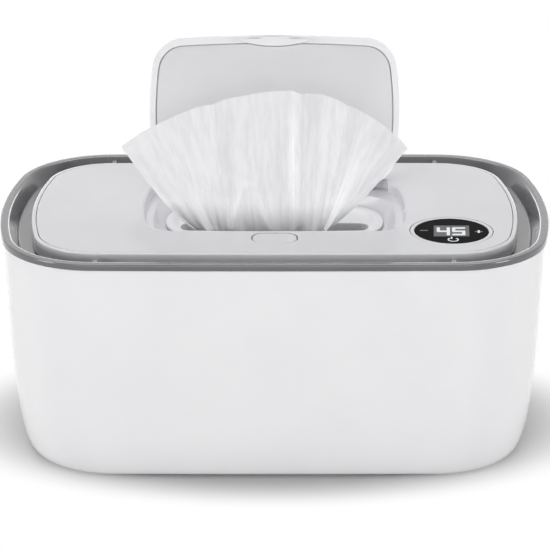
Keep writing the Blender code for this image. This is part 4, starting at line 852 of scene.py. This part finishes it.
# places of the signs from the window's middle, and half the length and width of their lines
signs = {"minus": (-0.0118, 0.0003), "plus": (0.0117, -0.0012), "power": (0.0, -0.0112)}
signLine = {"arm": 0.0017, "line": 0.00042, "stemWidth": 1.1, "stemLength": 0.9, "over": 0.00002}
powerSign = {"radius": 0.0021, "line": 0.0006, "turns": (128, 412), "steps": 28, "stem": (0.00035, 0.0012)}


def makePanel():
    window = skinned("panelWindow", [dialRing(*row) for row in panelWindow], closed=False)
    dress(window, "lid", "black_gloss", "windowGloss", "panel_window")
    bezel = skinned("panelRing", [dialRing(*row) for row in panelRing])
    dress(bezel, "lid", "lid_white", "lidWhite", "panel_bezel")


def plateMark(points, height):
    # a thin printed plate from its outline
    deselect()
    bpy.ops.mesh.primitive_circle_add(vertices=len(points), fill_type="NGON", enter_editmode=True)
    made = bpy.context.object
    bm = bmesh.from_edit_mesh(made.data)
    bm.verts.ensure_lookup_table()
    for vert, (px, py) in zip(bm.verts, points):
        vert.co = (px, py, height)
    bmesh.update_edit_mesh(made.data)
    bpy.ops.mesh.select_all(action="SELECT")
    bpy.ops.mesh.extrude_region_move(TRANSFORM_OT_translate={"value": (0, 0, display["thick"])})
    bpy.ops.mesh.select_all(action="SELECT")
    bpy.ops.mesh.normals_make_consistent(inside=False)
    stopEdit()
    return made


def joined(name, pieces):
    pick(pieces[0])
    for piece in pieces[1:]:
        piece.select_set(True)
    bpy.ops.object.join()
    made = bpy.context.object
    made.name = name
    made.data.name = name
    return made


def leaned(points):
    return [(x + markLean * (y - panelPlace["y"]), y) for x, y in points]


def strokeBox(centre, start, stop):
    # one stroke of a digit, with its corners cut
    a, b = (width / 2 for width in digits["stroke"])
    halfX, halfY = digits["size"][0] / 2 - a, digits["size"][1] / 2 - b
    ends = [(centre[0] + halfX * x, centre[1] + halfY * y) for x, y in (start, stop)]
    left, right = sorted(e[0] for e in ends)
    low, high = sorted(e[1] for e in ends)
    cutX, cutY = a * digits["cut"], b * digits["cut"]
    points = [(left - a + cutX, low - b), (right + a - cutX, low - b), (right + a, low - b + cutY)]
    points += [(right + a, high + b - cutY), (right + a - cutX, high + b), (left - a + cutX, high + b)]
    return leaned(points + [(left - a, high + b - cutY), (left - a, low - b + cutY)])


def arcPlate(centre):
    # the open ring of the power sign
    look = powerSign
    (start, stop), steps, half = look["turns"], look["steps"], look["line"] / 2
    turns = [math.radians(start + (stop - start) * k / steps) for k in range(steps + 1)]
    points = []
    for radius, order in ((look["radius"] + half, turns), (look["radius"] - half, turns[::-1])):
        points += [(centre[0] + radius * math.cos(t), centre[1] + radius * math.sin(t)) for t in order]
    return points


def rectangle(x, y, halfX, halfY):
    near, far = y - halfY, y + halfY
    return leaned([(x - halfX, near), (x + halfX, near), (x + halfX, far), (x - halfX, far)])


def makeMarks():
    x, y = panelPlace["x"], panelPlace["y"]
    low = rim + display["lift"]
    screen = plateMark(rectangle(x, y - display["drop"], *display["half"]), low)
    screen.name = "displayScreen"
    dress(screen, "lid", "black_gloss", "litGrey")
    figures = []
    for name, lines in digitStrokes.items():
        centre = (x + digits[name], y + digits["down"])
        strokes = [plateMark(strokeBox(centre, *line), low + digits["over"]) for line in lines]
        for stroke in strokes[1:]:
            carve(strokes[0], stroke, "UNION")
        figures.append(strokes[0])
    dress(joined("displayDigits", figures), "lid", "black_gloss", "litWhite")
    arm, line, over = signLine["arm"], signLine["line"], low + signLine["over"]
    minus, plus, power = [(x + signs[name][0], y + signs[name][1]) for name in ("minus", "plus", "power")]
    marks = [plateMark(rectangle(*place, arm, line), low) for place in (minus, plus)]
    dress(joined("touchMarks", marks), "lid", "black_gloss", "markGrey")
    bright = [
        plateMark(rectangle(*plus, line * signLine["stemWidth"], arm * signLine["stemLength"]), over),
        plateMark(arcPlate(power), low),
        plateMark(rectangle(power[0], power[1] + powerSign["radius"], *powerSign["stem"]), over),
    ]
    dress(joined("touchSigns", bright), "lid", "black_gloss", "litWhite")


# latch button: inset, height and soft edge of the key, and the wedge that drives the slide, side on
latchButton = [(0.0015, 0.1000), (0, 0.1000, 0.0002), (0, rim, 0.0006), (0.0016, rim)]
wedgeHalf = 0.0030
wedgeProfile = [(-0.03845, 0.1004), (-0.04295, 0.1004), (-0.04295, 0.1000), (-0.0392, 0.0950)]
wedgeProfile += [(-0.03845, 0.0950)]


def makeLatchButton():
    made = skinned("latchButton", [ring(buttonOval, *row) for row in latchButton], closed=False)
    wedge = [([Vector((x, y, z)) for y, z in wedgeProfile], 0.0) for x in (-wedgeHalf, wedgeHalf)]
    carve(made, skinned("wedge", wedge, closed=False), "UNION")
    dress(made, "button", "lid_white", "lidWhite", "latch_button")


# spring between the slide and its seat, made as one fixed coil at the length of the CAD part; the real
# spring grows shorter as the slide comes forward
latchSpring = {"curls": 4, "wire": 0.0002, "steps": 24, "round": 2, "keep": 0.66}


def makeLatchSpring():
    look = latchSpring
    low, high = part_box("latch_spring")
    middle = [(a + b) / 2 for a, b in zip(low, high)]
    radius = (high[0] - low[0]) / 2 - look["wire"]
    start, stop = low[1] + look["wire"], high[1] - look["wire"]
    count = look["curls"] * look["steps"]
    deselect()
    bpy.ops.curve.primitive_nurbs_path_add()
    made = bpy.context.object
    made.name = "latchSpring"
    curve = made.data
    curve.splines.clear()
    wire = curve.splines.new("POLY")
    wire.points.add(count)
    for k, point in enumerate(wire.points):
        turn = 2 * math.pi * k / look["steps"]
        y = start + (stop - start) * k / count
        point.co = (middle[0] + radius * math.cos(turn), y, middle[2] + radius * math.sin(turn), 1)
    curve.bevel_depth = look["wire"]
    curve.bevel_resolution = look["round"]
    curve.use_fill_caps = True
    bpy.ops.object.convert(target="MESH")
    made = bpy.context.object
    dress(made, "lid", "steel", "springSteel", "latch_spring")
    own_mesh(made)


makeOuterShell()
makeInnerTub()
print("tub made")
makeLidTray()
makeLidSeal()
makeHeatPlate()
makeLidTop()
makeWipeGuide()
print("lid made")
makeFlipLid()
makePanel()
makeMarks()
makeLatchButton()
makeLatchSpring()
print("flip lid, panel and latch made")

# moist wipe drawn up through the slot: pleats that start together in the slot and fan out
wipe = {"columns": 240, "rows": 150, "split": 0.2, "tail": 0.0786, "neck": 0.0906, "thick": 0.00028}
wipe.update(mouth=(-0.0360, 0.0230), fan=(-0.0690, 0.0598), lean=0.021, leanGrow=1.3, spread=0.85)
wipe.update(pleatFade=1.2, creaseFade=0.7, creaseWidth=(0.85, 0.4), creaseSharp=0.4, smooth=(0.5, 4))
# how the cloth's width is gathered in the slot, and the height of its free edge above the rim
wipeGather = [(0.0, 0.0), (0.16, 0.13), (0.32, 0.27), (0.47, 0.52), (0.614, 0.78), (0.79, 0.955), (1.0, 1.0)]
wipeEdge = [(0.0, 0.0205), (0.08, 0.0280), (0.16, 0.0335), (0.24, 0.0378), (0.35, 0.0425), (0.45, 0.0452)]
wipeEdge += [(0.53, 0.0463), (0.63, 0.0458), (0.71, 0.0438), (0.80, 0.0393), (0.89, 0.0328), (0.95, 0.0268)]
wipeEdge += [(1.0, 0.0200)]
# creases across the cloth: share of its width, how wide, how deep towards the front
wipeCreases = [(0.05, 0.050, 0.0030), (0.19, 0.050, -0.0050), (0.27, 0.028, -0.0040)]
wipeCreases += [(0.322, 0.018, 0.0110), (0.385, 0.030, -0.0050), (0.49, 0.045, 0.0040)]
wipeCreases += [(0.595, 0.013, -0.0100), (0.630, 0.020, 0.0105), (0.705, 0.030, -0.0055)]
wipeCreases += [(0.79, 0.014, 0.0100), (0.85, 0.035, -0.0045), (0.95, 0.040, 0.0025)]
# pleats in the slot: depth, how many and where they start; waves above it: depth, turns across and up
wipePleats = [(0.0019, 5, 0.7), (0.0006, 13, 0.0)]
wipeWaves = [(0.0016, 7, 3), (0.0007, 27, -6)]
# two short ridges that meet above the slot
wipeTent = {"middle": 0.42, "reach": 0.085, "height": 0.36, "width": 0.012, "depth": 0.0042, "start": 8}


def along(stops, share):
    # smooth curve through a list of (share, value)
    last = len(stops) - 1
    k = max(j for j in range(last) if stops[j][0] <= share)
    (a, low), (b, high) = stops[k], stops[k + 1]
    slope = []
    for j in (k, k + 1):
        before, after = stops[max(j - 1, 0)], stops[min(j + 1, last)]
        slope.append((after[1] - before[1]) / (after[0] - before[0]) * (b - a))
    t = (share - a) / (b - a)
    rise = low * (1 + 2 * t) * (1 - t) ** 2 + high * t * t * (3 - 2 * t)
    return rise + slope[0] * t * (1 - t) ** 2 - slope[1] * t * t * (1 - t)


def wipePlace(u, v):
    # u runs across the cloth, v from its tail below the slot to its free edge
    look = wipe
    mouthX = look["mouth"][0] + (look["mouth"][1] - look["mouth"][0]) * along(wipeGather, u)
    fanX = look["fan"][0] + (look["fan"][1] - look["fan"][0]) * u
    pleats = sum(depth * math.sin(2 * math.pi * count * u + start) for depth, count, start in wipePleats)
    if v < look["split"]:
        return Vector((mouthX, pleats, look["tail"] + (look["neck"] - look["tail"]) * v / look["split"]))
    share = (v - look["split"]) / (1 - look["split"])
    top = rim + along(wipeEdge, u)
    z = look["neck"] + (top - look["neck"]) * share
    x = mouthX + (fanX - mouthX) * share ** look["spread"]
    y = pleats * (1 - share) ** look["pleatFade"] + look["lean"] * share ** look["leanGrow"]
    grow = share**0.5 * (1 - look["creaseFade"] * share)
    base, widen = look["creaseWidth"]
    for middle, width, depth in wipeCreases:
        far = abs(u - middle) / (width * (base + widen * share))
        y -= depth * grow * math.exp(-far * (1 + look["creaseSharp"] * far))
    tent = wipeTent
    rest = max(0, 1 - share / tent["height"])
    for side in (-1, 1):
        far = abs(u - tent["middle"] - side * tent["reach"] * rest) / tent["width"]
        y -= tent["depth"] * math.sqrt(rest * min(share * tent["start"], 1)) * math.exp(-far)
    for depth, across, up in wipeWaves:
        y += depth * share * math.sin(across * u + up * share)
    return Vector((x, y, z))


def makeWipe():
    look = wipe
    deselect()
    bpy.ops.mesh.primitive_grid_add(x_subdivisions=look["columns"], y_subdivisions=look["rows"], size=1)
    made = bpy.context.object
    made.name = "wetWipe"
    made.data.name = "wetWipe"
    for vert in made.data.vertices:
        vert.co = wipePlace(vert.co.x + 0.5, vert.co.y + 0.5)
    startEdit(made)
    factor, repeat = look["smooth"]
    bpy.ops.mesh.vertices_smooth(factor=factor, repeat=repeat)
    stopEdit()
    solid = made.modifiers.new("Cloth", "SOLIDIFY")
    solid.thickness = look["thick"]
    solid.offset = 0
    bpy.ops.object.modifier_apply(modifier=solid.name)
    dress(made, "lid", "tissue", "wetTissue", "wipe")
    # thin wet cloth lets most light through, so it throws no shadow on the lid or on itself; its cloth
    # colour is set darker to paint in the shade it would throw on itself
    made.visible_shadow = False
    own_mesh(made)


makeWipe()
print("wipe made")

# pale floor that catches the object's real shadow close by and fades to plain white away from it; the grey
# patch and its fade hug the footprint, so they also paint shade round the object; soft studio lights
# the floor's grey colour and the distances of its fade to white paint shade round the object's footprint
studio = {"floor": 3.0, "grey": (0.55, 0.55, 0.55, 1), "gloss": 0.6, "long": 0.60, "paintedShadeFade": (0.066, 0.096)}
studio.update(white=(1, 1, 1, 1), world=0.31)
lamps = {
    "rear": {"place": (0.0, 1.6, 0.22), "aim": (0, 0, 0.06), "size": (1.4, 0.3), "power": 3.4},
    "overhead": {"place": (-0.10, 0.38, 1.12), "aim": (0, 0, 0.05), "size": (1.2, 0.7), "power": 9.0},
    "front": {"place": (0.0, -1.6, 0.24), "aim": (0, 0, 0.12), "size": (1.5, 0.36), "power": 6.0},
    "left": {"place": (-1.2, -0.7, 0.30), "aim": (0, 0, 0.08), "size": (0.4, 0.4), "power": 7.5},
    "right": {"place": (1.2, -0.7, 0.30), "aim": (0, 0, 0.08), "size": (0.4, 0.4), "power": 7.5},
}


def seenRays(wire):
    # 1 for rays that show the surroundings: from the camera, mirrored or passed on
    path = wire.make("LightPath", {}, {}, "Is Camera Ray")
    rays = path.socket.node.outputs
    glossy = Wire(wire.tree, rays["Is Glossy Ray"])
    clear = Wire(wire.tree, rays["Is Transmission Ray"])
    return path.maths("MAXIMUM", path.maths("MAXIMUM", path, glossy), clear)


def makeFloor():
    deselect()
    bpy.ops.mesh.primitive_plane_add(size=studio["floor"])
    made = bpy.context.object
    made.name = "studioFloor"
    fixed = {"Base Color": studio["grey"], "Roughness": studio["gloss"]}
    floor, shader, place = newMaterial("studioFloor", fixed)
    squat = place.scaled((studio["long"], 1.0, 1.0))
    away = squat.make("VectorMath", {"operation": "LENGTH"}, {0: squat}, "Value")
    # 0 near the object, where the grey floor holds the real shadow and painted shade, 1 away from it, where
    # the floor is plain white
    paintedShadeFade = away.mask(*studio["paintedShadeFade"])
    white = place.make("Emission", {}, {"Color": studio["white"], "Strength": 1.0})
    grey = Wire(floor.node_tree, shader.outputs[0])
    mixed = place.make("MixShader", {}, {0: paintedShadeFade * seenRays(place), 1: grey, 2: white})
    output = floor.node_tree.nodes["Material Output"]
    floor.node_tree.links.new(mixed.socket, output.inputs["Surface"])
    made.data.materials.append(floor)


def makeWorld():
    world = bpy.data.worlds.new("studioWorld")
    world.use_nodes = True
    bpy.context.scene.world = world
    background = world.node_tree.nodes["Background"]
    background.inputs["Color"].default_value = studio["white"]
    seen = seenRays(Wire(world.node_tree))
    strength = seen * (1 - studio["world"]) + studio["world"]
    world.node_tree.links.new(strength.socket, background.inputs["Strength"])


def makeLamps():
    for name, lamp in lamps.items():
        deselect()
        way = Vector(lamp["aim"]) - Vector(lamp["place"])
        turn = way.to_track_quat("-Z", "Y").to_euler()
        bpy.ops.object.light_add(type="AREA", location=lamp["place"], rotation=turn)
        light = bpy.context.object.data
        light.shape = "RECTANGLE"
        light.size, light.size_y = lamp["size"]
        light.energy = lamp["power"]
        bpy.context.object.name = name


setCamera()
makeFloor()
makeWorld()
makeLamps()
bpy.context.scene.view_settings.view_transform = "Standard"
print("studio ready")


bpy.context.view_layer.update()
